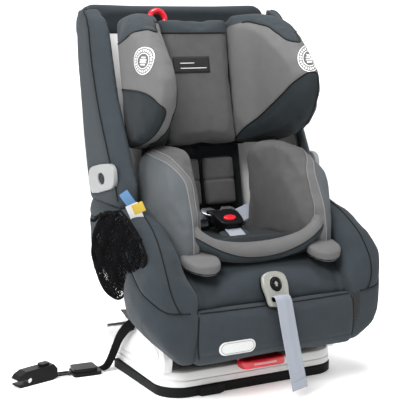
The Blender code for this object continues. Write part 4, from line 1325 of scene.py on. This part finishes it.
def make_labels():
    """Blank sewn labels: on the front panel, on the right wing's edge and beside the net pocket."""
    panel = bpy.data.objects["front_panel_cover"]
    middle, height, reach, radius = -0.088, 0.109, 0.0245, 0.0118
    ends = arc((middle + reach, height), radius, -90, 90, 10)
    ends += arc((middle - reach, height), radius, 90, 270, 10)
    face = surface_of(panel).ray_cast(Vector((middle, -0.4, height)), BACKWARDS)[0].y
    badge = solid("front_badge", ends, face - 0.0018, face + 0.002, 0.0009, "label_white", axis="Y")
    mount(badge, "seat", "fabric_light")
    inner = [(middle + (u - middle) * 0.9, height + (v - height) * 0.78) for u, v in ends]
    line = [Vector((u, face - 0.002, v)) for u, v in inner]
    mount(tube("front_badge_line", line, 0.0006, "guide", True, 6), "seat", "fabric_light")
    seat_side = bpy.data.objects["seat_side_cover_right"]
    strip = patch("side_label", seat_side, Vector((0.168, -0.2, 0.15)), BACKWARDS, 0.012, 0.052,
        "label_dark", 0.0012)
    mount(strip, "seat", "fabric_charcoal")
    for colour, place, turn, (wide, tall) in (
            ("white", (-0.208, -0.062, 0.327), 24, (0.024, 0.044)),
            ("gold", (-0.205, -0.065, 0.341), 24, (0.022, 0.018)),
            ("blue", (-0.213, -0.04, 0.352), 36, (0.018, 0.034))):
        outline = rounded_rectangle((-wide / 2, -tall / 2), (wide / 2, tall / 2), 0.0015, 3)
        aim = turned(-38, "Z") @ turned(90, "X") @ turned(turn, "Z")
        label = solid("care_label_" + colour, outline, 0.0, 0.0007, 0.0, "label_" + colour,
            Matrix.Translation(place) @ aim)
        mount(label, "seat", "fabric_light")


# ---------------------------------------------------------------- kept CAD parts
def finish_cad():
    """Gives the CAD parts that stay in view their materials, and most of them rounded edges."""
    finishes = {
        "shell": ["seat_shell"],
        "base": ["bar_lug_left", "bar_lug_right"],
        "black": ["recline_rail_left", "recline_rail_right", "rocker_hull", "headrest_shell",
            "headrest_carrier", "tether_adjuster", "tether_lever", "tether_link", "connector_housing",
            "connector_button"],
        "steel": ["isofix_bar", "guide_rod_left", "guide_rod_right", "harness_yoke", "recline_link_rod",
            "connector_jaw"],
    }
    rounding = {"seat_shell": 0.002, "headrest_shell": 0.002, "headrest_carrier": 0.002,
        "tether_adjuster": 0.0016, "tether_lever": 0.0024, "tether_link": 0.0012,
        "connector_housing": 0.0028, "connector_button": 0.001, "rocker_hull": 0.002}
    for finish, names in finishes.items():
        for name in names:
            NODES[name].data.materials.clear()
            dress(NODES[name], finish)
            if name in rounding:
                round_edges(NODES[name], rounding[name], 3, 35)


# ---------------------------------------------------------------- floor, lights
def make_sheet(name, corners, roughness, glow):
    """A pale sheet of the studio that glows a little."""
    maker = bmesh.new()
    maker.faces.new([maker.verts.new(corner) for corner in corners])
    pale = Shader(name, (0.95, 0.95, 0.95), roughness)
    pale.set("Emission Color", WHITE)
    pale.set("Emission Strength", glow)
    sheet = from_bmesh(name, maker, smooth=False)
    sheet.data.materials.append(pale.material)


def make_stage():
    floor_height, wall_distance = -0.0005, 6.0
    make_sheet("floor", [(x, y, floor_height) for x, y in ((-8, -6), (8, -6), (8, 10), (-8, 10))], 0.8, 0.3)
    make_sheet("backdrop", [(x, wall_distance, z) for x, z in ((-9, -1), (9, -1), (9, 7), (-9, 7))], 0.9,
        0.7)
    world = bpy.data.worlds.new("studio")
    world.use_nodes = True
    background = world.node_tree.nodes["Background"]
    background.inputs["Color"].default_value = WHITE
    background.inputs["Strength"].default_value = 0.36
    bpy.context.scene.world = world
    bpy.context.scene.view_settings.view_transform = "Standard"
    aimed_at = Vector((0.0, 0.0, 0.32))
    lamps = (("key", (-1.5, -1.25, 2.1), 1.0, 66.0), ("fill", (2.2, -1.4, 1.2), 1.6, 10.0),
        ("top", (0.0, -0.1, 2.3), 0.8, 40.0), ("side", (-1.9, 0.2, 1.4), 0.9, 20.0))
    for name, place, size, power in lamps:
        data = bpy.data.lights.new(name, "AREA")
        data.size = size
        data.energy = power
        lamp = bpy.data.objects.new(name, data)
        bpy.context.scene.collection.objects.link(lamp)
        lamp.location = place
        lamp.rotation_mode = "QUATERNION"
        lamp.rotation_quaternion = (aimed_at - Vector(place)).to_track_quat("-Z", "Y")


# ---------------------------------------------------------------- assembly
make_camera()
PAINT = make_materials()
for make in (make_cords, make_back_cover, make_seat_sides, make_insert, make_headrest, make_harness,
        make_adjuster, make_ring_handle, make_shell_back, make_base, make_belt_guides, make_pocket,
        make_labels, finish_cad, make_stage):
    make()
